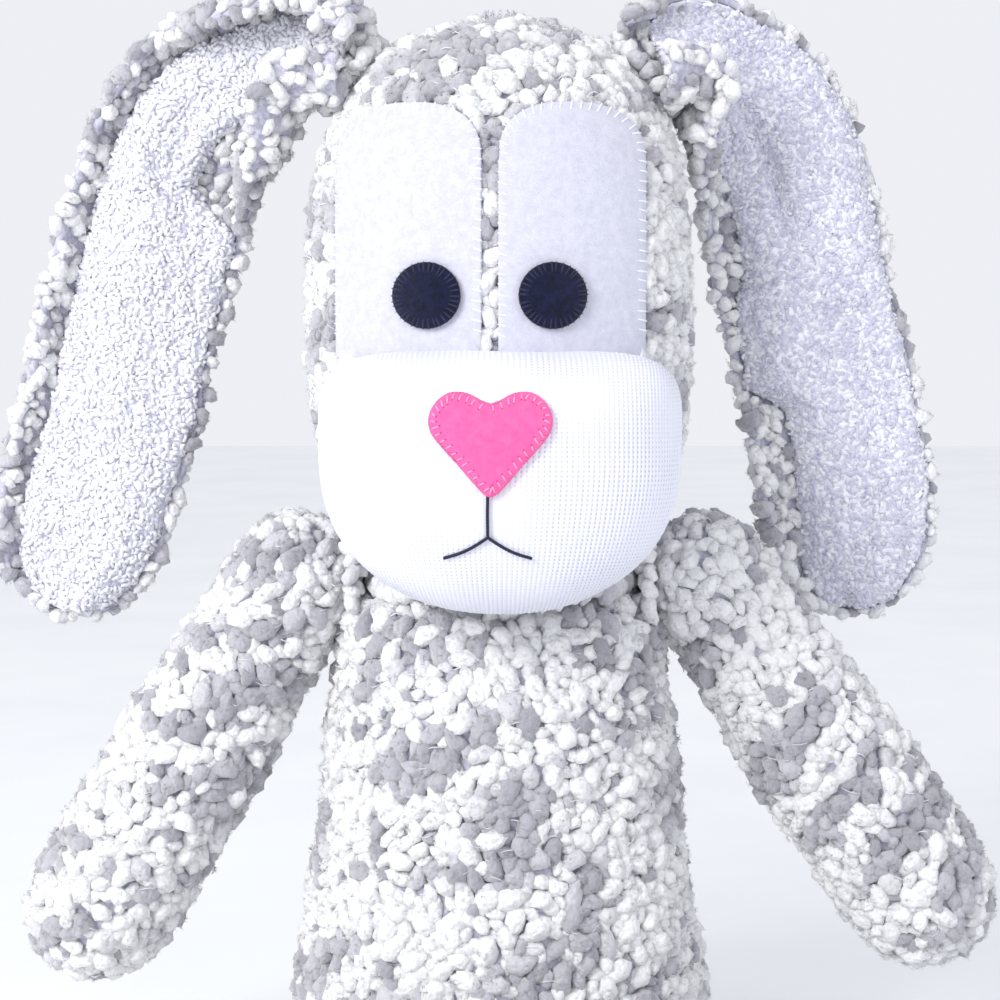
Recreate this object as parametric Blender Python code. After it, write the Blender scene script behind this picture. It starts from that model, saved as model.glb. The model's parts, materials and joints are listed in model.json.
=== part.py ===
"""Stuffed sock rabbit, seated, legs forward: a Blender 4.5 script that models it piece by piece.

Frame: metres, +Z up, the rabbit faces -Y. The origin is the middle of the flat seat it rests on.
"left" and "right" are the rabbit's own, so its left side is +X.
Every sewn skin is a hollow shell with the small gathered opening that it was stuffed through, and
the fibre filling is a solid of its own inside it.
"""

import math

import bmesh
import bpy
from mathutils import Matrix, Vector

# Cloth, thread and clearances
FABRIC = 0.0030  # looped sock fabric under its nubs
KNIT = 0.0014  # smooth sock fabric of the muzzle
FELT = 0.0015
THREAD = 0.0006  # radius of the doubled seam thread
GAP = 0.0005  # between a skin and what it holds, and between pieces that touch
NECK_GAP = 0.0016  # the neck's play, which lets the head nod

# Torso
TORSO_HEIGHT = 0.1630
TORSO_HALF_WIDTH = 0.0600
TORSO_ROUNDNESS = 0.88  # depth over width
SEAT_RADIUS = 0.0390
NECK_OPENING = 0.0070
NECK_RING_RADIUS = 0.0240
NECK_RING_STANDOFF = 0.0010

# Head
HEAD_HEIGHT = 0.1450
HEAD_HALF_WIDTH = 0.0535
HEAD_ROUNDNESS = 0.86
CROWN_OPENING = 0.0060

# Muzzle pouch
MUZZLE_HALF_WIDTH = 0.0477
MUZZLE_TOP_RISE = 0.0260  # top edge above its widest line
MUZZLE_CHIN_DROP = 0.0420  # lowest point below its widest line
MUZZLE_FRONT = 0.0370  # stands in front of its rim plane by this
MUZZLE_BACK = 0.0260  # reaches back towards the head by this
MUZZLE_ABOVE_NECK = 0.0310  # widest line above the neck
CHIN_FORWARD = 0.0080  # the rim plane leans forward by this at the chin

# Felt and stitching of the face
FACE_SHIFT = -0.0026  # hand-placed face, a little to the rabbit's right
PATCH_HALF_WIDTH = 0.0192
PATCH_HEIGHT = 0.0660
PATCH_SPLIT = 0.0022  # half the strip of head that shows between the patches
EYE_RADIUS = 0.0092
EYE_FROM_SPLIT = 0.0158  # eye centre, from the face's middle line
EYE_ABOVE_MUZZLE = 0.0135
NOSE_HALF_WIDTH = 0.0154
NOSE_HEIGHT = 0.0262
NOSE_ABOVE_CENTRE = 0.0045
MOUTH_DROP = 0.0110
MOUTH_REACH = 0.0104
MOUTH_FALL = 0.0048
FLOSS = 0.0009
FACE_GAP = 0.0008  # under the nose and the mouth, measured along Y

# Arms, which hang plumb below the shoulder as seen from the side
ARM_ROOT_RADIUS = 0.0190
ARM_RADIUS = 0.0215
ARM_LENGTH = 0.1090  # shoulder centre to palm centre
ARM_SPREAD = {1: 34.5, -1: 31.0}  # degrees from straight down, for the left and the right arm
SHOULDER_BELOW_NECK = 0.0075
SHOULDER_RING = 28.0  # degrees from the swing's axis out to the ring of seam thread

# Legs
LEG_ROOT_RADIUS = 0.0225
LEG_RADIUS = 0.0250
LEG_LENGTH = 0.1000  # hip centre to heel centre
LEG_SPLAY = 10.0
HIP_HALF_SPACING = 0.0320
HIP_RING = 40.0  # degrees from the contact out to the ring of seam thread
FLOOR_GAP = 0.0004

# Ears
EAR_HALF_WIDTH = 0.0245
EAR_ROOT_SHARE = 0.36  # width at the root over the full width
EAR_OPEN_SHARE = 0.20  # share of the length over which it opens to its full width
EAR_TURN_SHARE = 0.40  # share of the length over which it turns to face forward
EAR_LAYER = 0.0036
EAR_LINING = 0.0022
EAR_GAP = 0.0022  # between an ear's two layers, so that they clear each other where the ear turns
EAR_CUP = 0.0040
EAR_BEHIND_ARM = 0.0100
EAR_SEAT_HEIGHT = 0.885  # share of the head's height where the ear is sewn on
EAR_SEAT_BACK = 0.0040
EAR_SEAT_STANDOFF = 0.0068
EAR_TWIST = 20.0  # at the root the ear's inner edge stands this far forward, and it turns flat as it falls
EAR_HEM = 0.0015  # the lining is cut this much inside the outer cloth
EAR_RING_RADIUS = 0.0095
EAR_RING_SINK = 0.0001  # the head curves away below the ring
# Each ear's fall from its root: outwards, share of the way back to its hanging plane, upwards.
EAR_FALL = {
    1: ((0.0, 0.0, 0.0), (0.0095, 0.20, 0.002), (0.018, 0.40, -0.0035), (0.0275, 0.65, -0.0125),
        (0.036, 0.85, -0.0255), (0.0405, 1.0, -0.042), (0.0437, 1.0, -0.0615), (0.0498, 1.0, -0.083),
        (0.0550, 1.0, -0.106), (0.0580, 1.0, -0.131), (0.0605, 1.0, -0.156)),
    -1: ((0.0, 0.0, 0.0), (0.0130, 0.20, 0.001), (0.0275, 0.45, -0.007), (0.0420, 0.75, -0.0175),
         (0.0530, 0.95, -0.037), (0.0605, 1.0, -0.062), (0.0655, 1.0, -0.082), (0.0695, 1.0, -0.100),
         (0.0755, 1.0, -0.119), (0.0810, 1.0, -0.141), (0.0850, 1.0, -0.1565)),
}

# Tail
TAIL_RADIUS = 0.0165
TAIL_HEIGHT = 0.0300
TAIL_RING = 40.0

# Facets
BODY_SEGMENTS = 24
LIMB_SEGMENTS = 12
SMOOTH_ANGLE = 40.0

NECK_Z = TORSO_HEIGHT
HEAD_BOTTOM = NECK_Z + NECK_GAP
SIDES = {1: "left", -1: "right"}

COLOURS = {  # base colour, roughness
    "popcorn_fabric": ((0.60, 0.60, 0.62), 0.95),
    "lining_fabric": ((0.66, 0.66, 0.72), 0.95),
    "white_knit": ((0.88, 0.88, 0.93), 0.90),
    "white_felt": ((0.86, 0.87, 0.94), 0.95),
    "navy_felt": ((0.012, 0.014, 0.045), 0.95),
    "pink_felt": ((0.90, 0.16, 0.36), 0.95),
    "navy_floss": ((0.015, 0.015, 0.060), 0.60),
    "seam_thread": ((0.55, 0.55, 0.58), 0.60),
    "fibre_filling": ((0.90, 0.90, 0.88), 1.00),
}


# ---------------------------------------------------------------- helpers


def clear_scene():
    for obj in list(bpy.data.objects):
        bpy.data.objects.remove(obj)


def material(slot):
    found = bpy.data.materials.get(slot)
    if found:
        return found
    colour, roughness = COLOURS[slot]
    made = bpy.data.materials.new(slot)
    made.use_nodes = True
    shader = made.node_tree.nodes["Principled BSDF"]
    shader.inputs["Base Color"].default_value = (*colour, 1.0)
    shader.inputs["Roughness"].default_value = roughness
    shader.inputs["Metallic"].default_value = 0.0
    return made


def finish_object(name, bm, slot, parent=None, helper=False):
    """Turns a bmesh in world places into an object, its origin on the joint empty it hangs from."""
    bmesh.ops.recalc_face_normals(bm, faces=bm.faces)
    mesh = bpy.data.meshes.new(name)
    bm.to_mesh(mesh)
    bm.free()
    obj = bpy.data.objects.new(name, mesh)
    bpy.context.scene.collection.objects.link(obj)
    if helper:
        obj.hide_render = True
        obj.display_type = "WIRE"
        return obj
    mesh.materials.append(material(slot))
    mesh.shade_smooth()
    mesh.set_sharp_from_angle(angle=math.radians(SMOOTH_ANGLE))
    if parent:
        mesh.transform(Matrix.Translation(-parent.matrix_world.translation))
        obj.parent = parent
    return obj


def joint_empty(name, at, parent=None):
    """An empty on a joint's axis, which a moving piece hangs from."""
    empty = bpy.data.objects.new(name, None)
    bpy.context.scene.collection.objects.link(empty)
    empty.location = at - (parent.matrix_world.translation if parent else Vector())
    empty.parent = parent
    bpy.context.view_layer.update()
    return empty


def add_boolean(obj, cutter, operation="DIFFERENCE"):
    modifier = obj.modifiers.new("cut " + cutter.name, "BOOLEAN")
    modifier.operation = operation
    modifier.object = cutter
    modifier.solver = "EXACT"


def frame_along(axis, side=Vector((1, 0, 0))):
    """Two directions square to an axis: the first as near to side as can be."""
    along = axis.normalized()
    across = (side - along * side.dot(along)).normalized()
    return across, along.cross(across)


# ---------------------------------------------------------------- turned bodies


def inset_profile(profile, depth):
    """The outline (along, radius) drawn again, depth inside itself."""
    inner = []
    for i, (along, radius) in enumerate(profile):
        before = profile[max(i - 1, 0)]
        after = profile[min(i + 1, len(profile) - 1)]
        run = Vector((after[0] - before[0], after[1] - before[1]))
        if radius == 0:
            run = Vector((0, 1 if i == 0 else -1))
        run.normalize()
        inner.append((along + run.y * depth, max(radius - run.x * depth, 0.0)))
    return inner


def ring_points(origin, axis, across, over, along, radius, roundness, segments):
    middle = origin + axis * along
    points = []
    for k in range(segments):
        turn = 2 * math.pi * k / segments
        points.append(middle + (across * math.cos(turn) + over * (math.sin(turn) * roundness)) * radius)
    return points


def turned_rings(profile, origin, axis, roundness, segments):
    """One ring of points for each point of a profile; a pole is a ring of one point."""
    across, over = frame_along(axis)
    rings = []
    for along, radius in profile:
        count = 1 if radius == 0 else segments
        rings.append(ring_points(origin, axis, across, over, along, radius, roundness, count))
    return rings


def bridge_rings(rings, closed=False):
    """A bmesh with faces from each ring to the next, ends capped unless the rings close on themselves."""
    bm = bmesh.new()
    loops = [[bm.verts.new(point) for point in ring] for ring in rings]
    pairs = list(zip(loops, loops[1:]))
    if closed:
        pairs.append((loops[-1], loops[0]))
    for first, second in pairs:
        count = max(len(first), len(second))
        for k in range(count):
            near = (k + 1) % count
            if len(first) == 1:
                bm.faces.new((first[0], second[k], second[near]))
            elif len(second) == 1:
                bm.faces.new((first[k], first[near], second[0]))
            else:
                bm.faces.new((first[k], first[near], second[near], second[k]))
    if not closed:
        for loop in (loops[0], loops[-1]):
            if len(loop) > 1:
                bm.faces.new(loop)
    return bm


def turned_solid(profile, origin, axis, roundness=1.0, segments=LIMB_SEGMENTS):
    return bridge_rings(turned_rings(profile, origin, axis, roundness, segments))


def turned_shell(profile, wall, origin, axis, roundness=1.0, segments=LIMB_SEGMENTS):
    """A hollow skin, open where its profile ends: out along the profile and back along its inside."""
    walk = list(profile) + list(reversed(inset_profile(profile, wall)))
    return bridge_rings(turned_rings(walk, origin, axis, roundness, segments))


def egg_profile(half_width, height, low_power, high_power, opening, steps=12):
    """A stuffed egg from its bottom pole to the small opening at its top."""
    profile = []
    half_height = height / 2
    for i in range(steps + 1):
        swing = math.pi * (i / steps) - math.pi / 2
        share = math.sin(swing)
        power = low_power if share < 0 else high_power
        radius = half_width * max(1 - abs(share) ** power, 0.0) ** (1 / power)
        profile.append((half_height * (1 + share), radius))
    profile[0] = (0.0, 0.0)
    profile[-1] = (height, opening)
    return profile


def sausage_profile(root_radius, radius, length, opening, steps=4):
    """A stuffed limb from its round tip to the small opening at its root, along 0 being the tip's pole."""
    profile = []
    for i in range(steps + 1):
        turn = math.pi / 2 * i / steps
        profile.append((radius * (1 - math.cos(turn)), radius * math.sin(turn)))
    profile[0] = (0.0, 0.0)
    root = radius + length
    profile += [(radius + length * 0.5, radius), (root - length * 0.22, root_radius), (root, root_radius)]
    for i in range(1, steps):
        turn = math.pi / 2 * i / steps
        if root_radius * math.cos(turn) > opening * 1.2:
            profile.append((root + root_radius * math.sin(turn), root_radius * math.cos(turn)))
    profile.append((root + math.sqrt(root_radius**2 - opening**2), opening))
    return profile


# ---------------------------------------------------------------- the shapes that others fit to


def torso_profile():
    """From the flat seat up to the gathered neck, as (height, half width)."""
    widest = TORSO_HALF_WIDTH
    height = TORSO_HEIGHT
    return [
        (0.0, 0.0),
        (0.0, SEAT_RADIUS),
        (height * 0.020, (SEAT_RADIUS + widest) / 2),
        (height * 0.070, widest * 0.960),
        (height * 0.160, widest),
        (height * 0.240, widest * 0.985),
        (height * 0.340, widest * 0.940),
        (height * 0.485, widest * 0.875),
        (height * 0.656, widest * 0.835),
        (height * 0.780, widest * 0.780),
        (height * 0.870, widest * 0.690),
        (height * 0.930, widest * 0.550),
        (height * 0.965, widest * 0.420),
        (height * 0.990, widest * 0.250),
        (height, NECK_OPENING),
    ]


def head_profile():
    return egg_profile(HEAD_HALF_WIDTH, HEAD_HEIGHT, 3.6, 2.5, CROWN_OPENING)


def profile_radius(profile, along):
    for (a0, r0), (a1, r1) in zip(profile, profile[1:]):
        if a0 <= along <= a1 and a1 > a0:
            return r0 + (r1 - r0) * (along - a0) / (a1 - a0)
    return 0.0


def head_front_y(z):
    """How far forward the head's front is at a height, on its middle line."""
    return -profile_radius(head_profile(), z - HEAD_BOTTOM) * HEAD_ROUNDNESS


MUZZLE_Z = NECK_Z + MUZZLE_ABOVE_NECK
MUZZLE_TOP = MUZZLE_Z + MUZZLE_TOP_RISE
MUZZLE_RIM_Y = head_front_y(MUZZLE_Z)


def muzzle_rim_y(z):
    lean = max(MUZZLE_Z - z, 0.0) / MUZZLE_CHIN_DROP
    return MUZZLE_RIM_Y - CHIN_FORWARD * lean


def muzzle_point(turn, swing, inset=0.0):
    """A point of the pouch: turn goes round its outline, swing from its back (-90) to its front (90)."""
    high = math.sin(turn) >= 0
    power = 5.0 if high else 2.2
    rise = (MUZZLE_TOP_RISE if high else MUZZLE_CHIN_DROP) - inset
    reach = MUZZLE_HALF_WIDTH - inset
    radius = (abs(math.cos(turn)) ** power + abs(math.sin(turn)) ** power) ** (-1 / power)
    out = math.cos(swing) if swing >= 0 else math.cos(swing) ** 0.4
    x = reach * radius * math.cos(turn) * out
    z = MUZZLE_Z + rise * radius * math.sin(turn) * out
    low = min(max((MUZZLE_Z - z) / MUZZLE_CHIN_DROP, 0.0), 1.0)
    back = (MUZZLE_BACK - inset) * (1 - 0.72 * low)
    front = MUZZLE_FRONT - inset
    y = muzzle_rim_y(z) - (front if swing >= 0 else back) * math.sin(swing)
    return Vector((x, y, z))


def surface_samples(profile, bottom, roundness, rows=90, columns=72):
    """Points all over a standing turned body, close enough together to measure from."""
    points = []
    top = profile[-1][0]
    for i in range(rows + 1):
        along = top * i / rows
        radius = profile_radius(profile, along)
        for k in range(columns):
            turn = 2 * math.pi * k / columns
            points.append(
                Vector((radius * math.cos(turn), radius * roundness * math.sin(turn), bottom + along))
            )
    return points


def press_against(points, start, inward, distance):
    """Moves start along inward until the nearest of the points is distance away: the place and that point."""
    place = start.copy()
    for _ in range(60):
        nearest = min(points, key=lambda point: (point - place).length_squared)
        spare = (nearest - place).length - distance
        if abs(spare) < 1e-5:
            break
        place += inward * spare
    return place, nearest


# ---------------------------------------------------------------- pieces


def thread_ring(name, middle, axis, radius, parent=None, segments=14, sides=4):
    """A ring of seam thread, square to axis."""
    across, over = frame_along(axis, Vector((0.1, 1, 0.2)))
    rings = []
    for k in range(segments):
        turn = 2 * math.pi * k / segments
        out = across * math.cos(turn) + over * math.sin(turn)
        centre = middle + out * radius
        ring = []
        for s in range(sides):
            lean = 2 * math.pi * s / sides
            ring.append(centre + (out * math.cos(lean) + axis.normalized() * math.sin(lean)) * THREAD)
        rings.append(ring)
    return finish_object(name, bridge_rings(rings, closed=True), "seam_thread", parent)


def sewn_ring(name, pivot, root_radius, towards, cone, parent=None):
    """The ring of thread that sews a round root on, cone degrees round the direction of its contact."""
    reach = root_radius + GAP + THREAD
    axis = towards.normalized()
    middle = pivot + axis * (reach * math.cos(math.radians(cone)))
    return thread_ring(name, middle, axis, reach * math.sin(math.radians(cone)), parent)


def build_torso():
    up = Vector((0, 0, 1))
    seat = Vector((0, 0, 0))
    profile = torso_profile()
    shell = turned_shell(profile, FABRIC, seat, up, TORSO_ROUNDNESS, BODY_SEGMENTS)
    finish_object("torso_skin", shell, "popcorn_fabric")
    core = turned_solid(inset_profile(profile, FABRIC + GAP), seat, up, TORSO_ROUNDNESS, BODY_SEGMENTS)
    finish_object("torso_stuffing", core, "fibre_filling")


def build_head(head_joint):
    up = Vector((0, 0, 1))
    bottom = Vector((0, 0, HEAD_BOTTOM))
    profile = head_profile()
    shell = turned_shell(profile, FABRIC, bottom, up, HEAD_ROUNDNESS, BODY_SEGMENTS)
    finish_object("head_skin", shell, "popcorn_fabric", head_joint)
    core = turned_solid(inset_profile(profile, FABRIC + GAP), bottom, up, HEAD_ROUNDNESS, BODY_SEGMENTS)
    finish_object("head_stuffing", core, "fibre_filling", head_joint)
    crown = Vector((0, 0, HEAD_BOTTOM + HEAD_HEIGHT + GAP + THREAD))
    thread_ring("crown_gather_thread", crown, up, CROWN_OPENING + FABRIC / 2, head_joint)


def muzzle_solid(inset, segments=24, steps=9):
    rings = []
    for i in range(steps + 1):
        swing = math.pi * (i / steps - 0.5)
        if i in (0, steps):
            rings.append([muzzle_point(0.0, math.copysign(math.pi / 2, swing), inset)])
            continue
        rings.append([muzzle_point(2 * math.pi * k / segments, swing, inset) for k in range(segments)])
    return bridge_rings(rings)


def head_cutter(name, stand_off):
    profile = inset_profile(head_profile(), -stand_off)
    profile[-1] = (profile[-1][0], 0.0)
    bottom = Vector((0, 0, HEAD_BOTTOM))
    solid = turned_solid(profile, bottom, Vector((0, 0, 1)), HEAD_ROUNDNESS, BODY_SEGMENTS)
    return finish_object(name, solid, None, helper=True)


def build_muzzle(head_joint):
    """The knit pouch, open at its back where it is sewn to the head, and its filling."""
    seat = head_cutter("muzzle_seat", GAP)
    skin = finish_object("muzzle_skin", muzzle_solid(0.0), "white_knit", head_joint)
    room = finish_object("muzzle_cavity", muzzle_solid(KNIT), None, helper=True)
    add_boolean(skin, room)
    add_boolean(skin, seat)
    stuffing = finish_object("muzzle_stuffing", muzzle_solid(KNIT + 2 * GAP), "fibre_filling", head_joint)
    add_boolean(stuffing, head_cutter("muzzle_filling_seat", 2 * GAP))


def muzzle_cutter(name, stand_off):
    return finish_object(name, muzzle_solid(-stand_off), None, helper=True)


def laid_piece(name, outline, cutter, lift, thickness, slot, parent, start=0.0):
    """A piece cut to an outline in (x, z) and laid on a curved front, which cutter draws at any stand-off."""
    bm = bmesh.new()
    face = bm.faces.new([bm.verts.new((x, start, z)) for x, z in outline])
    pushed = bmesh.ops.extrude_face_region(bm, geom=[face])
    moved = [item for item in pushed["geom"] if isinstance(item, bmesh.types.BMVert)]
    bmesh.ops.translate(bm, verts=moved, vec=(0, -4 * MUZZLE_FRONT, 0))
    piece = finish_object(name, bm, slot, parent)
    add_boolean(piece, cutter(name + "_face", lift + thickness), "INTERSECT")
    add_boolean(piece, cutter(name + "_seat", lift))


def circle_outline(x, z, radius, count=20):
    turns = [2 * math.pi * k / count for k in range(count)]
    return [(x + radius * math.cos(turn), z + radius * math.sin(turn)) for turn in turns]


def patch_outline(x, bottom, half_width, height, count=10):
    """A tall felt patch, square at its foot and round at its head."""
    head_rise = half_width * 0.8
    shoulder = bottom + height - head_rise
    outline = [(x - half_width, bottom), (x, bottom), (x + half_width, bottom)]
    outline += [(x + half_width, bottom + (shoulder - bottom) * share) for share in (0.3, 0.65)]
    for k in range(count + 1):
        turn = math.pi * k / count
        outline.append((x + half_width * math.cos(turn), shoulder + head_rise * math.sin(turn)))
    outline += [(x - half_width, bottom + (shoulder - bottom) * share) for share in (0.65, 0.3)]
    return outline


def heart_outline(x, z, half_width, height, count=28):
    """A plump heart with round lobes and a blunt tip."""
    outline = []
    for k in range(count):
        turn = 2 * math.pi * k / count
        across = math.sin(turn) ** 3
        up = (13 * math.cos(turn) - 5 * math.cos(2 * turn) - 2 * math.cos(3 * turn) - math.cos(4 * turn)) / 29
        outline.append((x + half_width * across, z + height * up))
    return outline


def build_face(head_joint):
    middle = FACE_SHIFT
    foot = MUZZLE_TOP + GAP
    for side, word in SIDES.items():
        x = middle + side * (PATCH_SPLIT + PATCH_HALF_WIDTH)
        outline = patch_outline(x, foot, PATCH_HALF_WIDTH, PATCH_HEIGHT)
        laid_piece(f"eye_patch_{word}", outline, head_cutter, GAP, FELT, "white_felt", head_joint)
        x = middle + side * EYE_FROM_SPLIT
        z = foot + EYE_ABOVE_MUZZLE
        outline = circle_outline(x, z, EYE_RADIUS)
        laid_piece(f"eye_{word}", outline, head_cutter, GAP + FELT + GAP, FELT, "navy_felt", head_joint)
    z = MUZZLE_Z + NOSE_ABOVE_CENTRE
    outline = heart_outline(middle, z, NOSE_HALF_WIDTH, NOSE_HEIGHT)
    laid_piece("nose_heart", outline, muzzle_cutter, FACE_GAP, FELT, "pink_felt", head_joint, MUZZLE_RIM_Y)
    tip = min(point[1] for point in outline) - FLOSS - GAP
    build_mouth(head_joint, middle, tip)


def build_mouth(head_joint, x, top):
    """Backstitched floss: a short line down from the nose, forked to both sides."""
    fork = Vector((x, top - MOUTH_DROP))
    ends = [Vector((x, top))]
    ends += [Vector((x + side * MOUTH_REACH, fork.y - MOUTH_FALL)) for side in (-1, 1)]
    half = FLOSS / 2
    notch = half * 1.2
    outline = []
    for i, end in enumerate(ends):
        run = (end - fork).normalized()
        edge = Vector((-run.y, run.x)) * half
        after = (ends[(i + 1) % 3] - fork).normalized()
        for share in (0.35, 0.7, 1.0):
            outline.append(tuple(fork + (end - fork) * share - edge))
        for share in (1.0, 0.7, 0.35):
            outline.append(tuple(fork + (end - fork) * share + edge))
        outline.append(tuple(fork + (run + after).normalized() * notch))
    laid_piece("mouth_floss", outline, muzzle_cutter, FACE_GAP, FLOSS, "navy_floss", head_joint, MUZZLE_RIM_Y)


def build_limb(kind, word, root_radius, radius, length, pivot, axis, joint):
    """A stuffed limb that runs from its round root, centred on the pivot, along axis."""
    profile = sausage_profile(root_radius, radius, length, root_radius * 0.3)
    tip = pivot + axis * (length + radius)
    skin = turned_shell(profile, FABRIC, tip, -axis)
    finish_object(f"{kind}_{word}_skin", skin, "popcorn_fabric", joint)
    core = turned_solid(inset_profile(profile, FABRIC + GAP), tip, -axis)
    finish_object(f"{kind}_{word}_stuffing", core, "fibre_filling", joint)


def build_arm(side, torso_points, root):
    """The arm's thread ring lies square to the swing's axis, between the arm's root and the torso."""
    word = SIDES[side]
    start = Vector((side * TORSO_HALF_WIDTH * 2, 0, NECK_Z - SHOULDER_BELOW_NECK))
    inward = Vector((-side, 0, 0))
    pivot, _ = press_against(torso_points, start, inward, ARM_ROOT_RADIUS + 2 * THREAD + 2 * GAP)
    swing = joint_empty(f"shoulder_{word}", pivot, root)
    sewn_ring(f"arm_{word}_seam_thread", pivot, ARM_ROOT_RADIUS, inward, SHOULDER_RING, swing)
    spread = math.radians(ARM_SPREAD[side])
    axis = Vector((side * math.sin(spread), 0, -math.cos(spread)))
    arm_joint = joint_empty(f"arm_{word}_raise", pivot, swing)
    build_limb("arm", word, ARM_ROOT_RADIUS, ARM_RADIUS, ARM_LENGTH, pivot, axis, arm_joint)


def build_leg(side, torso_points, root):
    """A leg lies forward on the floor, its round root sewn to the torso by the ring of thread it carries."""
    word = SIDES[side]
    start = Vector((side * HIP_HALF_SPACING, -TORSO_HALF_WIDTH * 2, LEG_RADIUS + FLOOR_GAP))
    reach = LEG_ROOT_RADIUS + 2 * THREAD + 2 * GAP
    pivot, touch = press_against(torso_points, start, Vector((0, 1, 0)), reach)
    splay = math.radians(LEG_SPLAY)
    axis = Vector((side * math.sin(splay), -math.cos(splay), 0))
    leg_joint = joint_empty(f"hip_{word}", pivot, root)
    sewn_ring(f"leg_{word}_seam_thread", pivot, LEG_ROOT_RADIUS, touch - pivot, HIP_RING, leg_joint)
    build_limb("leg", word, LEG_ROOT_RADIUS, LEG_RADIUS, LEG_LENGTH, pivot, axis, leg_joint)


def smooth_path(points, samples):
    """Even points along a smooth curve through the given ones."""
    fine = []
    ends = [2 * points[0] - points[1]] + points + [2 * points[-1] - points[-2]]
    for p0, p1, p2, p3 in zip(ends, ends[1:], ends[2:], ends[3:]):
        for k in range(20):
            t = k / 20
            fine.append(
                0.5 * ((2 * p1) + (p2 - p0) * t + (2 * p0 - 5 * p1 + 4 * p2 - p3) * t**2
                       + (3 * p1 - p0 - 3 * p2 + p3) * t**3)
            )
    fine.append(points[-1])
    along = [0.0]
    for first, second in zip(fine, fine[1:]):
        along.append(along[-1] + (second - first).length)
    path = []
    for i in range(samples):
        want = along[-1] * i / (samples - 1)
        k = max(j for j in range(len(along)) if along[j] <= want + 1e-12)
        k = min(k, len(fine) - 2)
        share = (want - along[k]) / (along[k + 1] - along[k])
        path.append(fine[k].lerp(fine[k + 1], share))
    return path


def ear_seat(side):
    """Where the ear is sewn on: a point on the head's side near its top, and its outward direction."""
    along = HEAD_HEIGHT * EAR_SEAT_HEIGHT
    profile = head_profile()
    radius = profile_radius(profile, along)
    step = 0.003
    slope = (profile_radius(profile, along + step) - profile_radius(profile, along - step)) / (2 * step)
    normal = Vector((side, 0, -slope)).normalized()
    point = Vector((side * radius, EAR_SEAT_BACK, HEAD_BOTTOM + along))
    return point, normal


def ear_width(share):
    """Half width at a share of the ear's length: narrow root, full middle, round tip."""
    opening = EAR_ROOT_SHARE + (1 - EAR_ROOT_SHARE) * min(share / EAR_OPEN_SHARE, 1.0) ** 0.8
    tip = max(share - 0.80, 0.0) / 0.20
    return EAR_HALF_WIDTH * opening * math.sqrt(max(1 - tip**2.2, 0.03))


def ear_stations(side, samples=21):
    """Places down the ear: (centre, width direction, front direction, half width)."""
    seat, normal = ear_seat(side)
    root = seat + normal * EAR_SEAT_STANDOFF
    hang = ARM_RADIUS + EAR_BEHIND_ARM
    points = []
    for out, back, rise in EAR_FALL[side]:
        points.append(root + Vector((side * out, (hang - root.y) * back, rise)))
    path = smooth_path(points, samples)
    stations = []
    back = Vector((0, 1, 0))
    for i, centre in enumerate(path):
        share = i / (samples - 1)
        tangent = (path[min(i + 1, samples - 1)] - path[max(i - 1, 0)]).normalized()
        outer = (tangent.cross(back) * side).normalized()
        front = (tangent.cross(outer) * side).normalized()
        twist = math.radians(EAR_TWIST) * max(1 - share / EAR_TURN_SHARE, 0.0)
        width_way = outer * math.cos(twist) - front * math.sin(twist)
        facing = front * math.cos(twist) + outer * math.sin(twist)
        stations.append((centre, width_way, facing, ear_width(share)))
    return root, stations


def ear_layer(name, stations, front_at, thickness, narrower, slot, joint):
    """One cloth layer of an ear: a cupped strip, from front_at back by its thickness.

    Both layers split their squares along the same diagonals, so that they stay apart where they turn.
    """
    bm = bmesh.new()
    shares = (-1.0, -0.5, 0.0, 0.5, 1.0)
    fronts = []
    backs = []
    for centre, width_way, facing, half_width in stations:
        cup = EAR_CUP * half_width / EAR_HALF_WIDTH
        edge = 1 - narrower / half_width
        for rows, back in ((fronts, 0.0), (backs, thickness)):
            row = []
            for u in shares:
                across = u * edge if abs(u) == 1 else u
                lift = front_at - back + cup * (across**2 - 0.5)
                row.append(bm.verts.new(centre + width_way * (half_width * across) + facing * lift))
            rows.append(row)
    for rows in (fronts, backs):
        for first, second in zip(rows, rows[1:]):
            for k in range(len(shares) - 1):
                bm.faces.new((first[k], first[k + 1], second[k + 1]))
                bm.faces.new((first[k], second[k + 1], second[k]))
    for k in (0, -1):
        for i in range(len(stations) - 1):
            bm.faces.new((fronts[i][k], fronts[i + 1][k], backs[i + 1][k], backs[i][k]))
    for i in (0, -1):
        for k in range(len(shares) - 1):
            bm.faces.new((fronts[i][k], fronts[i][k + 1], backs[i][k + 1], backs[i][k]))
    return finish_object(name, bm, slot, joint)


def build_ear(side, head_joint):
    word = SIDES[side]
    seat, normal = ear_seat(side)
    root, stations = ear_stations(side)
    ring_middle = seat + normal * (THREAD + GAP - EAR_RING_SINK)
    thread_ring(f"ear_{word}_seam_thread", ring_middle, normal, EAR_RING_RADIUS, head_joint)
    joint = joint_empty(f"ear_{word}_base", root, head_joint)
    front = EAR_LINING + EAR_GAP / 2
    ear_layer(f"ear_{word}_lining", stations, front, EAR_LINING, EAR_HEM, "lining_fabric", joint)
    ear_layer(f"ear_{word}_outer", stations, -EAR_GAP / 2, EAR_LAYER, 0.0, "popcorn_fabric", joint)


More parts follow.
